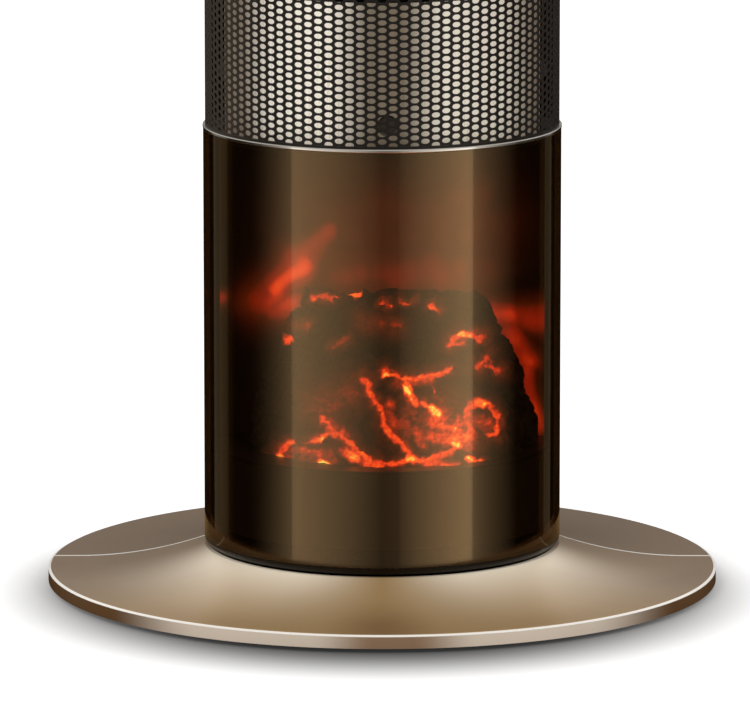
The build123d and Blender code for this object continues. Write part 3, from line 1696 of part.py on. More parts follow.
with BuildPart() as key_board:
    with BuildSketch(Plane.XY.offset(key_board_top_z - key_board_t)):
        add(arc_band(
            key_ring_r + key_board_reach,
            key_ring_r - key_board_depth,
            270 - key_board_half_angle,
            270 + key_board_half_angle,
        ))
    extrude(amount=key_board_t)
    with BuildSketch(Plane.XY.offset(key_board_top_z)):
        for angle in key_angles:
            with PolarLocations(key_ring_r, 1, start_angle=angle):
                Rectangle(tact_w, tact_w)
    extrude(amount=tact_h)
key_board.part.label = "key_board"

key_names = ("power_key", "heat_key", "swing_key", "timer_key", "flame_key")
key_proud = 0.4
key_flange_t = 2.0
key_stem_r = 2.5
key_flange_w = 1.5
key_play = 0.3
key_stem_gap = 0.2
key_chamfer = 0.5
key_flange_r = key_r + key_flange_w
key_flange_z = cap_under_z - key_play - key_flange_t
key_stem_z = key_board_top_z + tact_h + key_travel + key_stem_gap

keys = []
for key_name, angle in zip(key_names, key_angles):
    with BuildPart() as key:
        with BuildSketch(Plane.XY.offset(key_flange_z)):
            with PolarLocations(key_ring_r, 1, start_angle=angle):
                Circle(key_flange_r)
        extrude(amount=key_flange_t)
        with BuildSketch(Plane.XY.offset(key_flange_z + key_flange_t)):
            with PolarLocations(key_ring_r, 1, start_angle=angle):
                Circle(key_r)
        extrude(amount=cap_top_z + key_proud - key_flange_z - key_flange_t)
        chamfer(key.edges().group_by(Axis.Z)[-1], length=key_chamfer)
        with BuildSketch(Plane.XY.offset(key_stem_z)):
            with PolarLocations(key_ring_r, 1, start_angle=angle):
                Circle(key_stem_r)
        extrude(amount=key_flange_z - key_stem_z)
    key.part.label = key_name
    keys.append(key)


# Write each piece as a file of its own

pieces = [
    base_front, base_rear, rubber_pads, base_hub, base_screws, sector_gear, swing_pinion,
    thrust_washer, tip_switch, tip_plunger, turntable, pivot_clip, swing_motor, bottom_ring,
    flame_window, window_mask, lower_rear_cover, cord_bush, switch_bezel, power_rocker,
    power_board, ember_tray, ember_bed, lamp_board, flame_screen, spindle_brackets,
    spindle_motor, flame_spindle, trim_ring, middle_deck, backing_plate, plate_screw,
    fan_motor, fan_rotor, scroll_casing, casing_tongue, casing_posts, rotor_bearing,
    heater_frame, ceramic_elements, heater_fins, thermal_cutouts, head_deck, front_grille,
    rear_housing, case_screws, upper_trim_ring, head_shell, display_lens, display_board,
    ir_window, grip_recess, top_cap, key_board, *keys,
]

for piece in pieces:
    export_step(piece.part, f"parts/{piece.part.label}.step")
print(len(pieces), "pieces written")
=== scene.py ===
import json
from math import asin, atan2, cos, exp, pi, radians, sin, sqrt

import bmesh
import bpy
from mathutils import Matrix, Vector, noise


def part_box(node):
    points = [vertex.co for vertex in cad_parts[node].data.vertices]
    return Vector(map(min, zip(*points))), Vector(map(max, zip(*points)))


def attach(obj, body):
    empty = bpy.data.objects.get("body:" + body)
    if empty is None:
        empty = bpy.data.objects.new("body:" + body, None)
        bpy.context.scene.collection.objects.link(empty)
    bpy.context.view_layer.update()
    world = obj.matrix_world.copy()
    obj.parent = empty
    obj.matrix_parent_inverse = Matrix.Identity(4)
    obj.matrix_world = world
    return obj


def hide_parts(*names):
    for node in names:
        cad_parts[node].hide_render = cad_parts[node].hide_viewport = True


# Looks for a ceramic tower heater with an ember window. Metres, Z up, the front faces -Y.

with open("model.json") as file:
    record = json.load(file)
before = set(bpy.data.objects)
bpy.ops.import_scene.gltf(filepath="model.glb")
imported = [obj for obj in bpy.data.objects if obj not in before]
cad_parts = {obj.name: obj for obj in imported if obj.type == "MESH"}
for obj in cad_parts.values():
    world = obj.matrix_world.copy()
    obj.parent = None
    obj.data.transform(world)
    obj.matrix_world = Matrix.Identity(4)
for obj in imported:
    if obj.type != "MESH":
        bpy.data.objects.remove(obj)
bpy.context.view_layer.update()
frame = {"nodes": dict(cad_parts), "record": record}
nodes = frame["nodes"]
MM = 0.001


# Camera, fitted to the ellipses and edges of the photograph

camera_back = 3.2218
camera_rise = 0.6935
camera_tilt = radians(79.561)
camera_pan = 0.001

camera_data = bpy.data.cameras.new("camera")
camera_data.sensor_width = 36.0
camera_data.lens = 350.2
camera_data.clip_start = 0.1
camera_data.clip_end = 60.0
camera = bpy.data.objects.new("camera", camera_data)
bpy.context.scene.collection.objects.link(camera)
camera.location = (0.0, -camera_back, camera_rise)
camera.rotation_euler = (camera_tilt, 0.0, camera_pan)
bpy.context.scene.camera = camera
bpy.context.scene.view_settings.view_transform = "Standard"


# Helpers for node materials

class Nodes:
    """Adds shader nodes to a material or world, by kind, and links them."""

    def __init__(self, tree):
        self.tree = tree
        tree.nodes.clear()

    def add(self, kind, inputs=None, **settings):
        node = self.tree.nodes.new(kind)
        for key, value in settings.items():
            setattr(node, key, value)
        for key, value in (inputs or {}).items():
            if isinstance(value, bpy.types.NodeSocket):
                self.tree.links.new(value, node.inputs[key])
            else:
                node.inputs[key].default_value = value
        return node

    def math(self, operation, *values, clamp=False):
        """Result of a sum or other operation on values or sockets."""
        inputs = dict(enumerate(values))
        return self.add("ShaderNodeMath", inputs, operation=operation, use_clamp=clamp).outputs[0]

    def ramp(self, value, low, high, to_low=0.0, to_high=1.0, smooth=True):
        """Maps low to high onto to_low to to_high, and stays at the ends beyond them."""
        kind = "SMOOTHSTEP" if smooth else "LINEAR"
        inputs = {0: value, 1: low, 2: high, 3: to_low, 4: to_high}
        return self.add("ShaderNodeMapRange", inputs, interpolation_type=kind).outputs[0]

    def mix(self, factor, first, second):
        """A colour between two, by a factor."""
        node = self.add("ShaderNodeMix", data_type="RGBA")
        sockets = (node.inputs[0], node.inputs[6], node.inputs[7])
        for socket, value in zip(sockets, (factor, first, second)):
            if isinstance(value, bpy.types.NodeSocket):
                self.tree.links.new(value, socket)
            else:
                socket.default_value = value if socket == node.inputs[0] else (*value[:3], 1.0)
        return node.outputs[2]

    def noise(self, scale, detail=3.0, roughness=0.5, vector=None, stretch=None):
        """A noise from 0 to 1 on the object, finer for a higher scale."""
        if vector is None:
            vector = self.add("ShaderNodeTexCoord").outputs["Object"]
        if stretch:
            mapping = self.add("ShaderNodeMapping", {"Vector": vector})
            mapping.inputs["Scale"].default_value = stretch
            vector = mapping.outputs[0]
        inputs = {"Vector": vector, "Scale": scale, "Detail": detail, "Roughness": roughness}
        return self.add("ShaderNodeTexNoise", inputs).outputs[0]

    def place(self):
        """X, Y, Z of the surface point, in metres, as it lies on the object at rest."""
        coordinates = self.add("ShaderNodeTexCoord").outputs["Object"]
        split = self.add("ShaderNodeSeparateXYZ", {0: coordinates})
        return split.outputs[0], split.outputs[1], split.outputs[2]

    def radius(self, x, y):
        """Distance from the column's axis."""
        squares = self.math("ADD", self.math("MULTIPLY", x, x), self.math("MULTIPLY", y, y))
        return self.math("SQRT", squares)


def new_material(name):
    """An empty node material and the helper that fills it."""
    material = bpy.data.materials.new(name)
    material.use_nodes = True
    return material, Nodes(material.node_tree)


def output(n, surface):
    """Closes a material with its surface shader."""
    n.add("ShaderNodeOutputMaterial", {"Surface": surface})


def tone(colour, factor):
    """The colour made lighter or darker."""
    return tuple(min(1.0, c * factor) for c in colour)


patch_share = 0.6
grain_share = 0.4
worn_edge_r = 0.0006


def finish(name, colour, rough, metal=0.0, shade=0.12, grain=900.0, patch=30.0, bump=0.1,
           rough_change=0.08, stretch=None, coat=0.0, ior=1.5, wear=None):
    """A moulded, painted or bare metal finish: broad patches, fine grain and uneven gloss."""
    material, n = new_material(name)
    broad = n.noise(patch, 4.0, 0.55)
    fine = n.noise(grain, 2.0, 0.6, stretch=stretch)
    both = n.math("ADD", n.math("MULTIPLY", broad, patch_share), n.math("MULTIPLY", fine, grain_share))
    dark = tone(colour, 1.0 - shade)
    light = tone(colour, 1.0 + shade)
    base = n.mix(n.ramp(both, 0.3, 0.7), dark, light)
    if wear:
        rounded = n.add("ShaderNodeBevel", {"Radius": worn_edge_r}, samples=4).outputs[0]
        normal = n.add("ShaderNodeNewGeometry").outputs["Normal"]
        turn = n.add("ShaderNodeVectorMath", {0: rounded, 1: normal}, operation="DOT_PRODUCT")
        base = n.mix(n.ramp(turn.outputs["Value"], 0.995, 0.9, 0.0, 0.5), base, wear)
    uneven = n.math("ADD", broad, n.math("MULTIPLY", fine, 0.3))
    gloss = n.ramp(uneven, 0.4, 0.9, rough - rough_change, rough + rough_change)
    height = n.add("ShaderNodeBump", {"Strength": bump, "Distance": 0.0003, "Height": fine})
    shader = n.add("ShaderNodeBsdfPrincipled", {
        "Base Color": base, "Roughness": gloss, "Metallic": metal, "Normal": height.outputs[0],
        "IOR": ior, "Coat Weight": coat, "Coat Roughness": 0.08,
    })
    output(n, shader.outputs[0])
    return material


# Finishes for each slot of the record

seam_y = (nodes["base_front"].bound_box[6][1] + nodes["base_rear"].bound_box[0][1]) / 2

# Zones of painted light on the foot, in metres: painted reflections on the rim, a painted highlight
# along the bevel and the seam, and a painted sheen beside the column
rim_r = 0.1500
bevel_r = 0.1492
rim_z = 0.0078
bevel_z = 0.0074
seam_edge = 0.0011
seam_core = 0.0007
foot_top_z = 0.020
column_foot_r = 0.080
# Reach of the painted sheen from the column
painted_sheen_fade = 0.023
# Zones of the painted reflections on the rim side, and where they turn into painted shade
rim_middle_x = 0.005
rim_dark_reflection_half = 0.008
rim_pale_reflection_start = 0.038
rim_pale_reflection_stop = 0.085
rim_shade_start = 0.125

# Paints of the foot and the cap, with the painted light on the foot: a lighter front, a darker rear
# half, a painted sheen, a painted shade, painted reflections on the rim and a painted highlight line
cap_paint = ((0.30, 0.195, 0.098), (0.345, 0.230, 0.120))
foot_paint = ((0.215, 0.136, 0.074), (0.250, 0.162, 0.092))
# Painted light: the front of the foot lighter
front_painted_light = (0.375, 0.232, 0.098)
# Painted shade: the rear half of the foot darker
rear_painted_shade = (0.218, 0.142, 0.080)
flake_paint = (0.60, 0.47, 0.32)
# Painted sheen beside the column
painted_sheen_colour = (0.90, 0.79, 0.63)
# Painted shade, in front of the column and at the ends of the rim
painted_shade_colour = (0.15, 0.075, 0.030)
# Painted reflections on the rim side: dark in the middle, pale between
rim_painted_dark_reflection = (0.34, 0.21, 0.125)
rim_painted_pale_reflection = (0.82, 0.69, 0.56)
# Painted highlight along the bevel and the seam
painted_highlight_line = (1.0, 0.96, 0.89)


def bronze_skin():
    """Satin bronze paint, brushed round the foot, with painted light: a lighter front, a darker rear
    half, a painted sheen beside the column, painted shade in front of it, painted reflections on the rim
    and a painted highlight along the bevel and the seam.
    """
    material, n = new_material("bronze_skin")
    x, y, z = n.place()
    radius = n.radius(x, y)
    angle = n.math("ARCTAN2", y, x)
    around = n.add("ShaderNodeCombineXYZ", {0: radius, 1: n.math("MULTIPLY", angle, 0.004), 2: z})
    brushed = n.noise(2600.0, 2.0, 0.6, vector=around.outputs[0])
    flakes = n.noise(5200.0, 1.0, 0.5)
    patches = n.noise(14.0, 4.0, 0.55)
    grain = n.math("ADD", n.math("MULTIPLY", brushed, 0.6), n.math("MULTIPLY", flakes, 0.4))

    across = n.math("DIVIDE", n.math("ABSOLUTE", x), radius)
    ahead = n.math("DIVIDE", n.math("MULTIPLY", y, -1.0), radius)
    front = n.ramp(ahead, 0.0, 0.5)
    plain = n.mix(n.ramp(patches, 0.35, 0.65), *cap_paint)
    plain = n.mix(n.ramp(grain, 0.3, 0.7, 0.0, 0.10), plain, flake_paint)
    tint = n.mix(n.ramp(patches, 0.35, 0.65), *foot_paint)
    # Painted light: the front of the foot lighter
    tint = n.mix(n.ramp(ahead, 0.30, 0.88), tint, front_painted_light)
    tint = n.mix(n.ramp(grain, 0.3, 0.7, 0.0, 0.10), tint, flake_paint)
    # Painted sheen beside the column, fading away from it
    near = n.math("EXPONENT", n.math("DIVIDE", n.math("SUBTRACT", column_foot_r, radius), painted_sheen_fade))
    sheen = n.math("MULTIPLY", n.ramp(across, -0.06, 0.5), front)
    tint = n.mix(n.math("MULTIPLY", near, sheen, clamp=True), tint, painted_sheen_colour)
    # Painted shade in front of the column
    painted_shade_mask = n.math("MULTIPLY", n.ramp(across, 0.22, 0.0), n.ramp(radius, 0.095, 0.135, 0.0, 0.5))
    tint = n.mix(n.math("MULTIPLY", painted_shade_mask, front), tint, painted_shade_colour)
    # Painted shade: the rear half of the foot darker
    tint = n.mix(n.ramp(y, seam_y - 0.0002, seam_y + 0.0002), tint, rear_painted_shade)

    # Painted reflections on the rim side: pale between a dark middle and painted shade at the ends
    side = n.math("MULTIPLY", n.ramp(radius, rim_r, rim_r + 0.0004), n.ramp(z, rim_z, rim_z - 0.0005))
    spread = n.math("ABSOLUTE", n.math("SUBTRACT", x, rim_middle_x))
    rim = n.mix(n.ramp(spread, rim_dark_reflection_half, rim_pale_reflection_start), rim_painted_dark_reflection, rim_painted_pale_reflection)
    rim = n.mix(n.ramp(spread, rim_pale_reflection_stop, rim_shade_start), rim, painted_shade_colour)
    tint = n.mix(side, tint, rim)
    # Painted highlight along the bevel and the seam
    outside = n.ramp(radius, bevel_r, bevel_r + 0.0003)
    bevel = n.math("MULTIPLY", outside, n.ramp(z, bevel_z - 0.0004, bevel_z))
    seam = n.ramp(n.math("ABSOLUTE", n.math("SUBTRACT", y, seam_y)), seam_edge, seam_core)
    tint = n.mix(n.math("MAXIMUM", bevel, seam), tint, painted_highlight_line)
    tint = n.mix(n.ramp(z, foot_top_z + 0.01, foot_top_z + 0.02), tint, plain)
    rough = n.ramp(grain, 0.2, 0.8, 0.29, 0.38)
    height = n.add("ShaderNodeBump", {"Strength": 0.12, "Distance": 0.0002, "Height": grain})
    shader = n.add("ShaderNodeBsdfPrincipled", {
        "Base Color": tint, "Roughness": rough, "Metallic": 0.1, "Specular IOR Level": 0.06,
        "Normal": height.outputs[0],
    })
    output(n, shader.outputs[0])
    return material


def smoked_window():
    """Smoked gloss panel: it mirrors the studio and lets the fire through, tinted brown."""
    material, n = new_material("smoked_window")
    cloud = n.noise(14.0, 3.0, 0.5)
    ripple = n.noise(60.0, 2.0, 0.5, stretch=(1.0, 1.0, 0.12))
    tint = n.mix(n.ramp(cloud, 0.3, 0.7), (0.64, 0.53, 0.40), (0.72, 0.60, 0.45))
    clear = n.add("ShaderNodeBsdfTransparent", {"Color": tint})
    gloss = n.ramp(ripple, 0.3, 0.7, 0.05, 0.075)
    sheen = n.add("ShaderNodeBsdfAnisotropic", {"Color": (1.0, 0.72, 0.40, 1.0), "Roughness": gloss})
    facing = n.add("ShaderNodeLayerWeight", {"Blend": 0.5}).outputs["Facing"]
    mirror = n.ramp(n.math("POWER", facing, 5.0), 0.0, 1.0, 0.115, 1.0, smooth=False)
    mixed = n.add("ShaderNodeMixShader", {0: mirror, 1: clear.outputs[0], 2: sheen.outputs[0]})
    output(n, mixed.outputs[0])
    return material


def heat_colour(n, heat):
    """Colour of glowing embers, from deep red through orange to yellow."""
    ramp = n.add("ShaderNodeValToRGB", {0: heat})
    stops = ramp.color_ramp.elements
    stops[0].position = 0.0
    stops[0].color = (0.0, 0.0, 0.0, 1.0)
    stops[1].position = 1.0
    stops[1].color = (1.0, 1.0, 0.22, 1.0)
    for position, colour in (
        (0.25, (0.07, 0.010, 0.002)),
        (0.45, (0.30, 0.020, 0.006)),
        (0.65, (0.85, 0.060, 0.012)),
        (0.85, (1.0, 0.20, 0.03)),
    ):
        stops.new(position).color = (*colour, 1.0)
    return ramp.outputs[0]


def ember():
    """Charcoal with ash on its ridges, glowing where the mesh carries heat."""
    material, n = new_material("ember")
    heat = n.add("ShaderNodeAttribute", attribute_name="glow").outputs["Fac"]
    coal = n.noise(260.0, 5.0, 0.65)
    ash = n.noise(900.0, 3.0, 0.6)
    base = n.mix(n.ramp(coal, 0.35, 0.7), (0.012, 0.010, 0.009), (0.055, 0.045, 0.036))
    base = n.mix(n.ramp(ash, 0.58, 0.75, 0.0, 0.4), base, (0.13, 0.11, 0.09))
    flicker = n.math("MULTIPLY", heat, n.ramp(coal, 0.25, 0.6, 0.85, 1.05))
    height = n.add("ShaderNodeBump", {"Strength": 0.6, "Distance": 0.0008, "Height": coal})
    shader = n.add("ShaderNodeBsdfPrincipled", {
        "Base Color": base, "Roughness": n.ramp(ash, 0.3, 0.7, 0.75, 0.95), "Normal": height.outputs[0],
        "Emission Color": heat_colour(n, flicker), "Emission Strength": 2.6,
    })
    output(n, shader.outputs[0])
    return material


def flame_screen():
    """Frosted screen lit from behind by the turning spindle."""
    material, n = new_material("flame_screen")
    heat = n.add("ShaderNodeAttribute", attribute_name="glow").outputs["Fac"]
    frost = n.noise(700.0, 3.0, 0.6)
    wisps = n.noise(34.0, 4.0, 0.6, stretch=(1.0, 1.0, 0.5))
    base = n.mix(n.ramp(frost, 0.3, 0.7), (0.020, 0.012, 0.008), (0.034, 0.022, 0.015))
    warm = n.math("MULTIPLY", heat, n.ramp(wisps, 0.3, 0.65, 0.75, 1.05))
    height = n.add("ShaderNodeBump", {"Strength": 0.2, "Distance": 0.0003, "Height": frost})
    shader = n.add("ShaderNodeBsdfPrincipled", {
        "Base Color": base, "Roughness": n.ramp(frost, 0.3, 0.7, 0.55, 0.7), "Normal": height.outputs[0],
        "Emission Color": heat_colour(n, warm), "Emission Strength": 2.0,
    })
    output(n, shader.outputs[0])
    return material


def circuit_board():
    """Green lacquer with paler tracks."""
    material, n = new_material("circuit_board")
    coordinates = n.add("ShaderNodeTexCoord").outputs["Object"]
    cells = n.add("ShaderNodeTexVoronoi", {"Vector": coordinates, "Scale": 260.0}, distance="CHEBYCHEV")
    tracks = n.ramp(cells.outputs["Distance"], 0.46, 0.5)
    fine = n.noise(1500.0, 2.0, 0.6)
    base = n.mix(n.ramp(fine, 0.3, 0.7), (0.030, 0.120, 0.045), (0.050, 0.170, 0.065))
    base = n.mix(n.math("MULTIPLY", tracks, 0.7), base, (0.09, 0.26, 0.11))
    rough = n.ramp(fine, 0.3, 0.7, 0.3, 0.45)
    shader = n.add("ShaderNodeBsdfPrincipled", {"Base Color": base, "Roughness": rough})
    output(n, shader.outputs[0])
    return material


def champagne_plate():
    """Brushed champagne plate, with painted reflections: the right half darker, a dark tan band along
    its middle, and painted shade towards its sides.
    """
    material, n = new_material("champagne_plate")
    x, y, z = n.place()
    streaks = n.noise(800.0, 2.0, 0.6, stretch=(1.0, 1.0, 0.05))
    away = n.math("ABSOLUTE", n.math("SUBTRACT", x, 0.002))
    tint = n.mix(n.ramp(streaks, 0.3, 0.7), (0.90, 0.82, 0.70), (0.98, 0.91, 0.80))
    # Painted reflection: the right half darker
    tint = n.mix(n.ramp(x, 0.0, 0.030, 0.0, 0.5), tint, (0.66, 0.58, 0.46))
    # Painted reflection: a dark band along the middle
    tint = n.mix(n.ramp(away, 0.028, 0.006, 0.0, 0.92), tint, (0.12, 0.085, 0.045))
    # Painted shade towards the sides
    tint = n.mix(n.ramp(away, 0.048, 0.066, 0.0, 0.9), tint, (0.16, 0.11, 0.07))
    height = n.add("ShaderNodeBump", {"Strength": 0.05, "Distance": 0.0002, "Height": streaks})
    shader = n.add("ShaderNodeBsdfPrincipled", {
        "Base Color": tint, "Roughness": n.ramp(streaks, 0.3, 0.7, 0.26, 0.34), "Metallic": 0.1,
        "Normal": height.outputs[0],
    })
    output(n, shader.outputs[0])
    return material


def mesh_metal():
    """Dark brown lacquer on the pierced sheet, with a painted sheen that makes it paler towards its two
    sides.
    """
    material, n = new_material("mesh_metal")
    x, y, z = n.place()
    fine = n.noise(2500.0, 2.0, 0.6)
    broad = n.noise(30.0, 4.0, 0.55)
    tint = n.mix(n.ramp(fine, 0.3, 0.7), (0.010, 0.0065, 0.004), (0.014, 0.0095, 0.006))
    # Painted sheen: paler towards the left side, and less so towards the right
    tint = n.mix(n.ramp(x, -0.046, -0.074, 0.0, 0.9), tint, (0.066, 0.049, 0.034))
    tint = n.mix(n.ramp(x, 0.055, 0.078, 0.0, 0.4), tint, (0.050, 0.038, 0.027))
    height = n.add("ShaderNodeBump", {"Strength": 0.1, "Distance": 0.0003, "Height": fine})
    shader = n.add("ShaderNodeBsdfPrincipled", {
        "Base Color": tint, "Roughness": n.ramp(broad, 0.3, 0.7, 0.38, 0.48), "Metallic": 0.3,
        "Normal": height.outputs[0],
    })
    output(n, shader.outputs[0])
    return material


black_edge = (0.10, 0.095, 0.09)
finishes = {
    "bronze_skin": bronze_skin(),
    "smoked_window": smoked_window(),
    "ember": ember(),
    "flame_screen": flame_screen(),
    "circuit_board": circuit_board(),
    "rubber": finish("rubber", (0.022, 0.021, 0.020), 0.82, grain=1800.0, bump=0.3),
    "black_plastic": finish(
        "black_plastic", (0.030, 0.027, 0.024), 0.5, grain=2400.0, bump=0.25, wear=black_edge,
    ),
    "steel": finish("steel", (0.62, 0.62, 0.61), 0.32, metal=1.0, grain=1200.0),
    "motor_steel": finish("motor_steel", (0.50, 0.50, 0.50), 0.36, metal=1.0, grain=900.0),
    "galvanised": finish("galvanised", (0.48, 0.49, 0.50), 0.42, metal=1.0, shade=0.2, patch=120.0),
    "nylon": finish("nylon", (0.70, 0.68, 0.62), 0.45, grain=900.0),
    "dark_gloss": finish("dark_gloss", (0.007, 0.004, 0.002), 0.22, grain=600.0, bump=0.02, ior=1.25),
    "bronze_mask": finish("bronze_mask", (0.020, 0.015, 0.009), 0.6, grain=900.0, bump=0.1),
    "dark_shell": finish(
        "dark_shell", (0.024, 0.019, 0.015), 0.36, grain=2600.0, bump=0.15, wear=black_edge,
    ),
    "rocker_gloss": finish("rocker_gloss", (0.025, 0.024, 0.024), 0.2, grain=600.0, bump=0.03, coat=0.4),
    "aluminium": finish("aluminium", (0.80, 0.80, 0.79), 0.3, metal=1.0, grain=1500.0),
    "bright_trim": finish(
        "bright_trim", (0.93, 0.87, 0.79), 0.16, metal=1.0, shade=0.04, grain=1500.0, bump=0.02,
    ),
    "champagne_plate": champagne_plate(),
    "dark_screw": finish("dark_screw", (0.10, 0.075, 0.055), 0.4, metal=0.8, grain=1500.0),
    "brass": finish("brass", (0.62, 0.45, 0.20), 0.35, metal=1.0, grain=900.0),
    "heat_resin": finish("heat_resin", (0.17, 0.15, 0.125), 0.6, grain=1500.0, bump=0.25),
    "ceramic": finish("ceramic", (0.68, 0.65, 0.59), 0.6, grain=1200.0),
    "mesh_metal": mesh_metal(),
    "display_lens": finish("display_lens", (0.006, 0.006, 0.007), 0.1, grain=500.0, bump=0.01, coat=0.8),
    "ir_window": finish("ir_window", (0.05, 0.006, 0.012), 0.12, grain=500.0, bump=0.01, coat=0.8),
    "key_plastic": finish(
        "key_plastic", (0.030, 0.026, 0.023), 0.42, grain=2400.0, bump=0.2, wear=black_edge,
    ),
}

for subpart in frame["record"]["subparts"]:
    node = nodes[subpart["node"]]
    node.data.materials.clear()
    node.data.materials.append(finishes[subpart["material_slot"]])


# Pieces made in mesh code

def new_piece(name, points, faces, slot, body, smooth=True, heat=None):
    """A mesh object that rides on a body and takes the finish of a slot, with its heat at each point."""
    mesh = bpy.data.meshes.new(name)
    mesh.from_pydata(points, [], faces)
    mesh.validate()
    if heat:
        attribute = mesh.attributes.new("glow", "FLOAT", "POINT")
        attribute.data.foreach_set("value", heat)
    mesh.materials.append(finishes[slot])
    if smooth:
        mesh.shade_smooth()
    piece = bpy.data.objects.new(name, mesh)
    bpy.context.scene.collection.objects.link(piece)
    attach(piece, body)
    return piece


def tidy_mesh(piece, merge=2e-6):
    """Joins doubled points and drops faces without area."""
    shape = bmesh.new()
    shape.from_mesh(piece.data)
    bmesh.ops.remove_doubles(shape, verts=shape.verts, dist=merge)
    bmesh.ops.dissolve_degenerate(shape, dist=merge, edges=shape.edges)
    bmesh.ops.recalc_face_normals(shape, faces=shape.faces)
    shape.to_mesh(piece.data)
    shape.free()


def grid_faces(columns, rows):
    """Four-sided faces over rows of points, each row with one point more than its columns."""
    faces = []
    for j in range(rows):
        for i in range(columns):
            a = j * (columns + 1) + i
            b = a + columns + 1
            faces.append((a, a + 1, b + 1, b))
    return faces


# Front grille: the fine sheet with staggered oval holes, which the CAD node carries in a coarse form

mesh_outer_r = 79.0 * MM
mesh_sheet_t = 0.5 * MM
mesh_inner_r = mesh_outer_r - mesh_sheet_t
mesh_columns = 51
mesh_step = radians(3.46)
hole_half_w = 1.97 * MM
hole_half_h = 1.20 * MM
grille_low, grille_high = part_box("front_grille")
mesh_rows = 132
row_pitch = (grille_high.z - grille_low.z) / mesh_rows
edge_turn = asin(-grille_high.y / mesh_outer_r)
mesh_margin = 0.3 * MM
flat_share = 0.45
rim_reach = 0.4
hem_proud = 0.1 * MM
hem_depth = 1.6 * MM
hem_steps = 4
fold_proud = 0.15 * MM
fold_depth = 1.2 * MM
fold_h = 1.1 * MM
fold_steps = 96


def pierced_sheet():
    """Points and faces of the sheet: each cell is a hexagon with an oval hole through it."""
    column_pitch = mesh_outer_r * mesh_step
    shift = row_pitch**2 / (8 * column_pitch)
    wide = column_pitch / 2 + shift
    narrow = column_pitch / 2 - shift
    half = row_pitch / 2
    quarter = [(wide, 0.0), (column_pitch / 2, half / 2), (narrow, half), (narrow * flat_share, half)]
    cell = quarter + [(-a, b) for a, b in reversed(quarter)]
    cell += [(a, -b) for a, b in reversed(cell[1:-1])]
    hole = []
    for a, b in cell:
        turn = atan2(b / hole_half_h, a / hole_half_w)
        hole.append((hole_half_w * cos(turn), hole_half_h * sin(turn)))
    low = grille_low.z - mesh_margin
    high = grille_high.z + mesh_margin
    reach_a = mesh_step * mesh_columns / 2
    points = []
    index = {}
    faces = []

    def point(along, up, radius):
        """Number of the point at a turn, a height and a radius, made once and kept inside the sheet."""
        along = max(-reach_a, min(reach_a, along))
        up = max(low, min(high, up))
        key = (round(along * 1e5), round(up * 1e6), radius)
        if key not in index:
            index[key] = len(points)
            points.append((radius * sin(along), -radius * cos(along), up))
        return index[key]

    for column in range(-(mesh_columns // 2), mesh_columns // 2 + 1):
        middle = column * mesh_step
        offset = 0.5 * row_pitch if column % 2 else 0.0
        for row in range(-1, mesh_rows + 2):
            height = grille_low.z + row * row_pitch + offset
            if height < low - row_pitch * rim_reach or height > high + row_pitch * rim_reach:
                continue
            outer = [point(middle + a / mesh_outer_r, height + b, mesh_outer_r) for a, b in cell]
            inner = [point(middle + a / mesh_outer_r, height + b, mesh_inner_r) for a, b in cell]
            front = [point(middle + a / mesh_outer_r, height + b, mesh_outer_r) for a, b in hole]
            back = [point(middle + a / mesh_outer_r, height + b, mesh_inner_r) for a, b in hole]
            for i in range(len(cell)):
                j = (i + 1) % len(cell)
                for quad in (
                    (outer[i], outer[j], front[j], front[i]),
                    (front[i], front[j], back[j], back[i]),
                    (back[i], back[j], inner[j], inner[i]),
                ):
                    corners = list(dict.fromkeys(quad))
                    if len(corners) > 2:
                        faces.append(corners)
    return points, faces


sheet_points, sheet_faces = pierced_sheet()
grille = new_piece("grille_mesh", sheet_points, sheet_faces, "mesh_metal", "column", smooth=False)
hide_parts("front_grille")

# Light passes the fine sheet freely, which keeps the plate behind it bright and free of noise
grille.visible_diffuse = False
grille.visible_glossy = False
grille.visible_shadow = False


def band(name, angles, profile, slot, body):
    """A strip swept round the column: profile points are (radius, height)."""
    points = []
    faces = []
    for a in angles:
        for r, z in profile:
            points.append((r * sin(a), -r * cos(a), z))
    count = len(profile)
    for i in range(len(angles) - 1):
        for j in range(count):
            k = (j + 1) % count
            faces.append((i * count + j, i * count + k, (i + 1) * count + k, (i + 1) * count + j))
    faces.append(tuple(range(count - 1, -1, -1)))
    faces.append(tuple((len(angles) - 1) * count + j for j in range(count)))
    return new_piece(name, points, faces, slot, body)


# Plain hems beside the holes, and folds along the sheet's lower and upper edge
mesh_end = mesh_step * mesh_columns / 2
sheet_end = pi / 2 - edge_turn
for side, label in ((-1, "left"), (1, "right")):
    turns = [side * (mesh_end + (sheet_end - mesh_end) * i / hem_steps) for i in range(hem_steps + 1)]
    hem = [
        (mesh_outer_r + hem_proud, grille_low.z), (mesh_outer_r + hem_proud, grille_high.z),
        (mesh_outer_r - hem_depth, grille_high.z), (mesh_outer_r - hem_depth, grille_low.z),
    ]
    strip = band("grille_hem_" + label, turns, hem, "mesh_metal", "column")
    tidy_mesh(strip)
    strip.data.shade_flat()


fold_turns = [-sheet_end + 2 * sheet_end * i / fold_steps for i in range(fold_steps + 1)]
for base_z, up, label in ((grille_low.z, 1, "lower"), (grille_high.z, -1, "upper")):
    far_z = base_z + up * fold_h
    edge = [
        (mesh_outer_r + fold_proud, base_z), (mesh_outer_r + fold_proud, far_z),
        (mesh_outer_r - fold_depth, far_z), (mesh_outer_r - fold_depth, base_z),
    ]
    fold = band("grille_fold_" + label, fold_turns, edge, "mesh_metal", "column")
    tidy_mesh(fold)
    fold.data.shade_flat()


# Heat of the fire. Points are whole millimetres across and up, as the front view shows them. Each row of
# the tables below gives a heat, a half width in millimetres and the run of the feature.

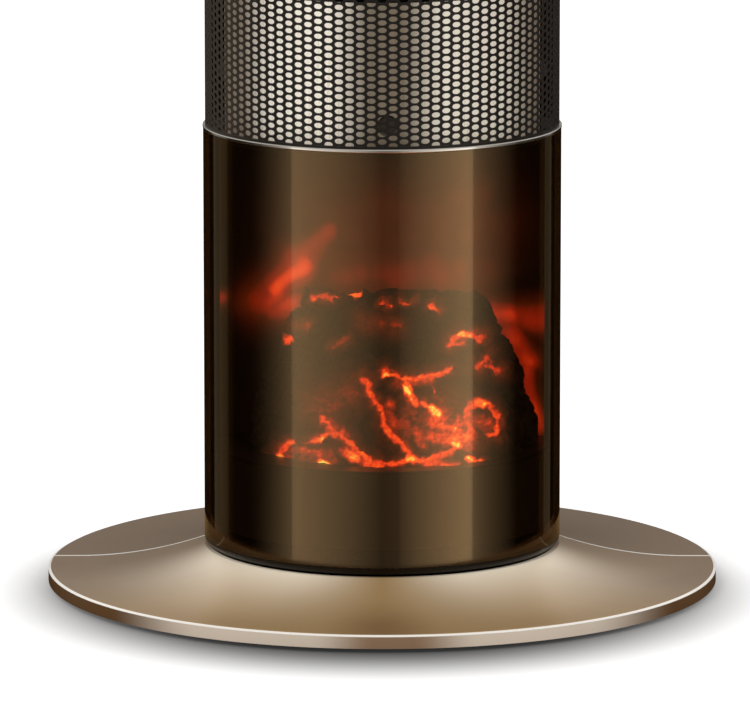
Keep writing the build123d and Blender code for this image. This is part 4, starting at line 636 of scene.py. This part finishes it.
# Cracks between the coals
cracks = {
    "crown_left": (0.50, 1.1, [(-31, 129), (-26, 130), (-20, 130)]),
    "crown_middle": (0.58, 1.0, [(-1, 127), (4, 126)]),
    "crown_right": (0.54, 1.0, [(8, 128), (14, 129)]),
    "crown_far": (0.62, 1.1, [(21, 127), (26, 125)]),
    "upper_left": (0.32, 1.2, [(-22, 107), (-15, 111)]),
    "upper_middle": (0.34, 1.3, [(5, 117), (8, 116)]),
    "shoulder": (0.62, 1.8, [(31, 109), (34, 112), (40, 113), (46, 112)]),
    "shoulder_low": (0.56, 1.2, [(31, 109), (37, 109)]),
    "flank": (0.54, 1.9, [(42, 98), (46, 101), (49, 103)]),
    "flank_low": (0.52, 1.8, [(46, 98), (52, 97)]),
    "ledge": (0.64, 1.5, [(1, 96), (8, 93), (15, 93), (22, 94), (31, 97)]),
    "ledge_drop": (0.72, 1.8, [(11, 92), (12, 86), (15, 82)]),
    "ledge_end": (0.70, 1.7, [(18, 82), (20, 80), (24, 76)]),
    "side_spark": (0.55, 1.1, [(23, 89), (24, 87)]),
    "long_top": (0.62, 1.9, [(-9, 92), (-7, 91), (-6, 86), (-3, 82)]),
    "long_middle": (0.62, 1.6, [(-3, 82), (0, 78), (0, 72), (4, 68)]),
    "long_foot": (0.64, 1.7, [(4, 68), (8, 64), (12, 59), (13, 56)]),
    "knee": (0.58, 2.2, [(40, 80), (39, 75), (40, 68), (36, 64)]),
    "lower_right": (0.60, 1.6, [(13, 56), (20, 56), (26, 58), (33, 62)]),
    "floor": (0.64, 1.5, [(-8, 52), (-2, 53), (5, 54), (12, 55), (20, 56)]),
    "floor_right": (0.56, 1.9, [(21, 55), (26, 52), (33, 51)]),
    "floor_far": (0.66, 1.3, [(38, 56), (40, 55), (45, 54)]),
    "ridge_top": (0.60, 1.7, [(-28, 75), (-25, 72), (-24, 68), (-18, 68)]),
    "ridge_low": (0.64, 1.8, [(-18, 68), (-14, 63), (-10, 58), (-5, 55), (0, 53)]),
    "branch": (0.60, 1.3, [(-33, 64), (-27, 66), (-24, 68)]),
    "left_low": (0.46, 1.6, [(-37, 60), (-29, 60)]),
    "left_edge": (0.60, 1.4, [(-49, 55), (-46, 58), (-42, 64)]),
    "arc": (0.62, 1.5, [(41, 80), (43, 83), (47, 81), (51, 75), (52, 68), (49, 67)]),
}

# Banks of dull red coals
banks = {
    "right": (0.67, 6.0, [(25, 73), (34, 71), (39, 66)]),
    "right_low": (0.63, 5.5, [(24, 67), (33, 66)]),
    "floor": (0.58, 3.5, [(21, 55), (33, 53)]),
    "inner": (0.42, 4.0, [(4, 80), (6, 70)]),
    "inner_low": (0.52, 3.0, [(15, 70), (19, 62)]),
    "middle": (0.34, 11.0, [(10, 72), (26, 78)]),
    "ledge": (0.46, 3.5, [(6, 91), (22, 92)]),
    "flank": (0.42, 5.0, [(42, 74), (48, 72)]),
    "shoulder": (0.46, 3.5, [(33, 111), (43, 114)]),
    "left_foot": (0.54, 3.5, [(-17, 60), (-8, 55)]),
    "left_ridge": (0.44, 4.0, [(-26, 73), (-17, 67)]),
    "left_low": (0.38, 6.0, [(-44, 58), (-24, 58)]),
    "left_slope": (0.29, 9.0, [(-28, 80), (-15, 86)]),
    "left_shoulder": (0.30, 3.5, [(-39, 117), (-34, 117)]),
    "crown": (0.24, 6.0, [(-8, 119), (6, 117)]),
}

# Yellow sparks
sparks = {
    "crown": (0.80, 1.3, [(-14, 132), (-11, 131)]),
    "left": (0.70, 1.5, [(-44, 110), (-42, 110)]),
    "shoulder": (0.90, 1.1, [(36, 113), (40, 113)]),
    "ledge": (0.92, 1.1, [(1, 95), (2, 95)]),
    "drop": (0.96, 1.0, [(10, 89), (12, 86)]),
    "end": (1.00, 1.8, [(22, 79), (24, 77)]),
    "knee": (0.98, 1.4, [(33, 63), (35, 63)]),
    "arc": (0.90, 1.1, [(43, 82), (45, 81)]),
    "floor": (0.92, 1.2, [(12, 56), (14, 56)]),
    "floor_far": (0.90, 1.1, [(39, 57), (40, 56)]),
    "ridge": (0.84, 1.6, [(-15, 58), (-13, 56)]),
    "ridge_low": (0.82, 1.2, [(-9, 58), (-8, 57)]),
    "branch": (0.86, 1.0, [(-29, 65), (-27, 66)]),
    "left_low": (1.00, 1.7, [(-28, 54), (-26, 53)]),
    "left_edge": (0.88, 1.1, [(-47, 57), (-46, 58)]),
}

# Flames thrown on the screen behind the coals
flames = {
    "beam_core": (0.70, 6.0, [(-49, 133), (-42, 140), (-35, 146)]),
    "beam_soft": (0.55, 10.0, [(-52, 127), (-45, 137), (-36, 146)]),
    "beam_high": (0.58, 8.0, [(-37, 146), (-29, 153), (-25, 157)]),
    "beam_foot": (0.50, 8.0, [(-48, 123), (-40, 128)]),
    "left": (0.60, 4.5, [(-76, 128), (-71, 128)]),
    "right": (0.66, 9.0, [(50, 121), (56, 119)]),
    "right_far": (0.54, 8.0, [(62, 119), (74, 120)]),
    "right_low": (0.62, 7.0, [(57, 112), (63, 100)]),
    "right_tail": (0.54, 5.0, [(63, 98), (68, 70)]),
    "haze": (0.32, 16.0, [(-20, 141), (8, 141), (36, 140)]),
    "haze_high": (0.24, 22.0, [(-18, 160), (34, 162)]),
    "haze_side": (0.26, 9.0, [(34, 172), (44, 176)]),
}

# Seen from above, a point one step further back looks this much higher
view_slope = 0.1836

reach_widths = 3.0
crack_swell = 1.05
crack_edge = 3.0
halo_swell = 2.6
halo_heat = 0.58
spark_swell = 1.6
spark_edge = 4.0


def run_distance(x, h, run):
    """Distance from a point to a run of straight pieces."""
    best = 1e9
    for (ax, ah), (bx, bh) in zip(run, run[1:]):
        dx = bx - ax
        dh = bh - ah
        t = max(0.0, min(1.0, ((x - ax) * dx + (h - ah) * dh) / (dx * dx + dh * dh)))
        best = min(best, (x - ax - t * dx) ** 2 + (h - ah - t * dh) ** 2)
    return sqrt(best)


def strongest(x, h, table, swell=1.0, edge=2.0):
    """Highest heat that the runs of a table give at a point. A higher edge falls off more sharply."""
    heat = 0.0
    for strength, width, run in table.values():
        width *= swell
        distance = run_distance(x, h, run)
        if distance < reach_widths * width:
            heat = max(heat, strength * exp(-((distance / width) ** edge)))
    return heat


def coal_heat(x, y, z):
    """Heat of the coals at a point in millimetres: ragged cracks, with patchy banks and sparks."""
    seed = Vector((x * 0.16, z * 0.16, 3.7))
    seen_x = x + 1.1 * noise.noise(seed) + 0.9 * noise.noise(seed * 2.7)
    seen_h = z + view_slope * y + 1.1 * noise.noise(seed + Vector((9.0, 4.0, 0.0)))
    seen_h += 0.9 * noise.noise(seed * 2.7 + Vector((2.0, 7.0, 0.0)))
    thin = noise.noise(Vector((x * 0.30, 8.0, z * 0.30)))
    patch = noise.fractal(Vector((x * 0.22, 4.0, z * 0.22)), 0.7, 2.2, 4)
    speckle = noise.fractal(Vector((x * 0.8, 1.0, z * 0.8)), 0.9, 2.0, 3)
    line = strongest(seen_x, seen_h, cracks, crack_swell + 0.80 * thin, crack_edge)
    line *= 1.08 + 0.28 * speckle
    halo = halo_heat * strongest(seen_x, seen_h, cracks, halo_swell) * (0.85 + 0.6 * patch)
    bank = strongest(seen_x, seen_h, banks) * (0.98 + 0.50 * patch + 0.20 * speckle)
    spark = strongest(seen_x, seen_h, sparks, spark_swell, spark_edge) * (1.0 + 0.1 * speckle)
    return max(0.0, min(1.0, max(line, halo, bank, spark)))


def flame_heat(x, y, z):
    """Heat of the flames at a point of the screen in millimetres."""
    seed = Vector((x * 0.06, z * 0.06, 3.7))
    seen_x = x + 4.0 * noise.noise(seed)
    seen_h = z + view_slope * y + 4.0 * noise.noise(seed + Vector((9.0, 4.0, 0.0)))
    slow = noise.noise(Vector((x * 0.09, 8.0, z * 0.09)))
    return max(0.0, min(1.0, strongest(seen_x, seen_h, flames) * (1.0 + 0.22 * slow)))


# Ember pile: a hollow lumpy shell over the CAD mound, with ridges, pits and cracks

bed_low, bed_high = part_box("ember_bed")
bed_h = (bed_high.z - bed_low.z) / MM
bed_foot_z = bed_low.z / MM
bed_middle_x = 4.5
bed_r = 65.0
crown_r = 38.0
side_round = 1.7
bed_back_y = 4.0
crown_drop = 3.0
shoulder_lift = 0.4
lift_rate = 4.0
crack_depth = 1.6
around_count = 300
side_count = 190
crown_count = 60


def pile_point(turn, t):
    """Point and outward direction on the smooth mound: t is 1 at the top of the side, 2 in the crown."""
    if t <= 1.0:
        radius = bed_r - (bed_r - crown_r) * t**side_round
        height = bed_foot_z + (bed_h - crown_drop) * t
        lift = shoulder_lift * t
    else:
        radius = crown_r * (2.0 - t)
        height = bed_foot_z + bed_h - crown_drop
        lift = min(1.0, shoulder_lift + lift_rate * (t - 1.0))
    x = bed_middle_x + radius * cos(turn)
    y = radius * sin(turn)
    out = Vector((cos(turn) * (1 - lift), sin(turn) * (1 - lift), lift)).normalized()
    return Vector((x, y, height)), out


# Coals, chips and grit: how many to a millimetre, and how high they stand in millimetres
coal_scale = 0.055
coal_h = 3.6
chip_scale = 0.16
chip_h = 1.2
grit_scale = 0.5
grit_h = 0.5
lump_sink = 3.4


def lump(point):
    """Height of the coals over the smooth mound: round lumps, clefts between them, and fine grit."""
    coarse = noise.voronoi(point * coal_scale)[0]
    cleft = min(1.0, (coarse[1] - coarse[0]) * 2.6)
    fine = noise.voronoi(point * chip_scale + Vector((5.0, 2.0, 1.0)))[0]
    small = min(1.0, (fine[1] - fine[0]) * 2.2)
    grit = noise.fractal(point * grit_scale, 0.8, 2.1, 4)
    return coal_h * cleft**0.6 + chip_h * small**0.7 + grit_h * grit - lump_sink


pile_points = []
pile_heat = []
levels = side_count + crown_count
for j in range(levels + 1):
    t = j / side_count if j <= side_count else 1.0 + (j - side_count) / crown_count
    for i in range(around_count + 1):
        turn = pi + pi * i / around_count
        base, out = pile_point(turn, t)
        heat = coal_heat(base.x, base.y, base.z)
        moved = base + out * (lump(base) - crack_depth * heat)
        if j == 0:
            moved.z = bed_foot_z
        moved.y = min(moved.y, bed_back_y)
        if i in (0, around_count):
            moved.y = bed_back_y
        pile_points.append(tuple(moved * MM))
        pile_heat.append(heat)
pile_faces = grid_faces(around_count, levels)
pile = new_piece("ember_pile", pile_points, pile_faces, "ember", "column", heat=pile_heat)
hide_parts("ember_bed")


# Flame picture: the frosted screen, finely divided so that it carries the glow behind the coals

screen_low, screen_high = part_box("flame_screen")
screen_columns = 146
screen_rows = 138
screen_points = []
screen_heat = []
for j in range(screen_rows + 1):
    for i in range(screen_columns + 1):
        x = screen_low.x + (screen_high.x - screen_low.x) * i / screen_columns
        z = screen_low.z + (screen_high.z - screen_low.z) * j / screen_rows
        screen_points.append((x, screen_low.y, z))
        screen_heat.append(flame_heat(x / MM, screen_low.y / MM, z / MM))
screen_faces = grid_faces(screen_columns, screen_rows)
screen = new_piece(
    "flame_picture", screen_points, screen_faces, "flame_screen", "column", heat=screen_heat,
)
thick = screen.modifiers.new("thickness", "SOLIDIFY")
thick.thickness = screen_high.y - screen_low.y
thick.offset = -1.0
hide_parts("flame_screen")


# Studio: white floor with a soft shadow round the foot, white world, and a dome that only mirrors see

def stage_mesh(name, points, faces, material):
    """A mesh of the studio, which is no part of the heater."""
    mesh = bpy.data.meshes.new(name)
    mesh.from_pydata(points, [], faces)
    mesh.materials.append(material)
    piece = bpy.data.objects.new(name, mesh)
    bpy.context.scene.collection.objects.link(piece)
    return piece


# Painted part of the soft shadow under the foot, in metres
shadow_squeeze = 1.06
shadow_ahead = 0.022
shadow_start = 0.122
shadow_stop = 0.203


def floor_finish():
    """White floor, painted darker under the foot. It shines a little, to melt into the background."""
    material, n = new_material("floor")
    x, y, z = n.place()
    away = n.radius(n.math("MULTIPLY", x, shadow_squeeze), n.math("ADD", y, shadow_ahead))
    shade = n.ramp(away, shadow_start, shadow_stop, 0.05, 1.0)
    tint = n.mix(shade, (0.05, 0.05, 0.05), (0.93, 0.93, 0.93))
    diffuse = n.add("ShaderNodeBsdfDiffuse", {"Color": tint})
    seen = n.add("ShaderNodeLightPath").outputs["Is Camera Ray"]
    lift = n.math("MULTIPLY", n.math("MULTIPLY", seen, shade), 0.5)
    glow = n.add("ShaderNodeEmission", {"Color": (1.0, 1.0, 1.0, 1.0), "Strength": lift})
    both = n.add("ShaderNodeAddShader", {0: diffuse.outputs[0], 1: glow.outputs[0]})
    output(n, both.outputs[0])
    return material


half_floor = 9.0
floor = stage_mesh(
    "floor",
    [(-half_floor, -half_floor, 0.0), (half_floor, -half_floor, 0.0),
     (half_floor, half_floor, 0.0), (-half_floor, half_floor, 0.0)],
    [(0, 1, 2, 3)],
    floor_finish(),
)
floor.visible_glossy = False

world = bpy.data.worlds.new("world")
world.use_nodes = True
bpy.context.scene.world = world
w = Nodes(world.node_tree)
path = w.add("ShaderNodeLightPath")
direct = w.math("MAXIMUM", path.outputs["Is Camera Ray"], path.outputs["Is Glossy Ray"])
direct = w.math("MAXIMUM", direct, path.outputs["Is Transmission Ray"])
brightness = w.ramp(direct, 0.0, 1.0, 0.62, 1.0)
sky = w.add("ShaderNodeBackground", {"Color": (1.0, 1.0, 1.0, 1.0), "Strength": brightness})
w.add("ShaderNodeOutputWorld", {"Surface": sky.outputs[0]})

# Soft boxes of the dome: first and last turn in degrees from the camera, right is positive, then the
# strength at each end and the power of the curve between them
low_cards = [
    (-60.0, 0.0, 0.92, 0.13, 1.0),
    (0.0, 11.0, 0.13, 0.17, 1.0),
    (11.0, 60.0, 0.22, 1.25, 1.0),
    (-97.0, -60.0, 0.0, 0.50, 2.2),
    (60.0, 97.0, 0.72, 0.0, 0.45),
    (-139.0, -118.0, 0.17, 0.08, 1.0),
    (129.0, 140.0, 0.10, 0.13, 1.0),
]
dome_r = 8.0
dome_base = 0.004
top_box_strength = 1.1


def dome_finish():
    """Glow of the dome: the soft boxes below, a pale sky above and two round boxes high at the back."""
    material, n = new_material("dome")
    x, y, z = n.place()
    turn = n.math("MULTIPLY", n.math("ARCTAN2", x, n.math("MULTIPLY", y, -1.0)), 180.0 / pi)
    low = dome_base
    for start, stop, first, last, power in low_cards:
        along = n.ramp(turn, start, stop, 0.0, 1.0, smooth=False)
        if power != 1.0:
            along = n.math("POWER", along, power)
        strength = n.ramp(along, 0.0, 1.0, first, last, smooth=False)
        past = n.math("GREATER_THAN", turn, start)
        inside = n.math("MULTIPLY", past, n.math("LESS_THAN", turn, stop))
        low = n.math("ADD", low, n.math("MULTIPLY", strength, inside))
    rise = n.math("DIVIDE", z, dome_r)
    high = n.ramp(rise, 0.10, 0.42, 0.22, 0.40)
    for side in (-1.0, 1.0):
        aim = Vector((side * 0.20, 0.82, 0.53)).normalized()
        spot = n.add("ShaderNodeTexCoord").outputs["Object"]
        toward = n.add("ShaderNodeVectorMath", {0: spot, 1: tuple(aim)}, operation="DOT_PRODUCT")
        near = n.math("DIVIDE", toward.outputs["Value"], dome_r)
        box = n.ramp(near, cos(radians(20.0)), cos(radians(5.0)), 0.0, top_box_strength)
        high = n.math("ADD", high, box)
    below = n.math("MULTIPLY", low, n.ramp(rise, -0.10, 0.10, 1.0, 0.0))
    above = n.math("MULTIPLY", high, n.ramp(rise, -0.10, 0.10))
    strength = n.math("ADD", below, above)
    tint = n.mix(n.ramp(rise, -0.1, 0.1), (1.0, 0.95, 0.88), (1.0, 0.985, 0.96))
    glow = n.add("ShaderNodeEmission", {"Color": tint, "Strength": strength})
    output(n, glow.outputs[0])
    material.cycles.emission_sampling = "NONE"
    return material


dome_rings = 24
dome_turns = 48
dome_points = []
dome_faces = []
for j in range(dome_rings + 1):
    polar = pi * j / dome_rings
    ring_r = dome_r * sin(polar)
    for i in range(dome_turns):
        turn = 2 * pi * i / dome_turns
        dome_points.append((ring_r * cos(turn), ring_r * sin(turn), dome_r * cos(polar)))
for j in range(dome_rings):
    for i in range(dome_turns):
        k = (i + 1) % dome_turns
        a = j * dome_turns
        b = a + dome_turns
        dome_faces.append((a + i, a + k, b + k, b + i))
dome = stage_mesh("dome", dome_points, dome_faces, dome_finish())
dome.visible_camera = False
dome.visible_diffuse = False
dome.visible_transmission = False
dome.visible_volume_scatter = False
dome.visible_shadow = False


# Lamps: two soft boxes in front, and two small spots on the foot beside the column

lamp_aim = Vector((0.0, 0.0, 0.3))
spot_aim_r = 0.086
spot_aim_z = 0.013
spot_away_r = 0.36
spot_away_z = 0.48


def place_light(name, data, place, toward):
    """Puts a light in its place, turned to where it shines, and keeps it out of mirrors."""
    light = bpy.data.objects.new(name, data)
    light.location = place
    light.rotation_euler = toward.to_track_quat("-Z", "Y").to_euler()
    light.visible_glossy = False
    bpy.context.scene.collection.objects.link(light)


def lamp(name, place, size, power):
    """A square soft box that shines on the column."""
    data = bpy.data.lights.new(name, "AREA")
    data.size = size
    data.energy = power
    data.color = (1.0, 0.985, 0.96)
    place_light(name, data, place, lamp_aim - Vector(place))


def foot_spot(name, turn, power):
    """A soft spot on the foot, close to the column, at a turn from the front."""
    data = bpy.data.lights.new(name, "SPOT")
    data.energy = power
    data.color = (1.0, 0.97, 0.92)
    data.spot_size = radians(15.0)
    data.spot_blend = 1.0
    data.shadow_soft_size = 0.02
    aim = Vector((spot_aim_r * sin(turn), -spot_aim_r * cos(turn), spot_aim_z))
    away = Vector((spot_away_r * sin(turn), -spot_away_r * cos(turn), spot_away_z))
    place_light(name, data, aim + away, -away)


lamp("key", (-1.5, -2.4, 2.6), 1.6, 34.0)
lamp("fill", (1.9, -1.6, 1.9), 1.4, 14.0)
foot_spot("spot_left", radians(-52.0), 2.2)
foot_spot("spot_right", radians(56.0), 1.6)
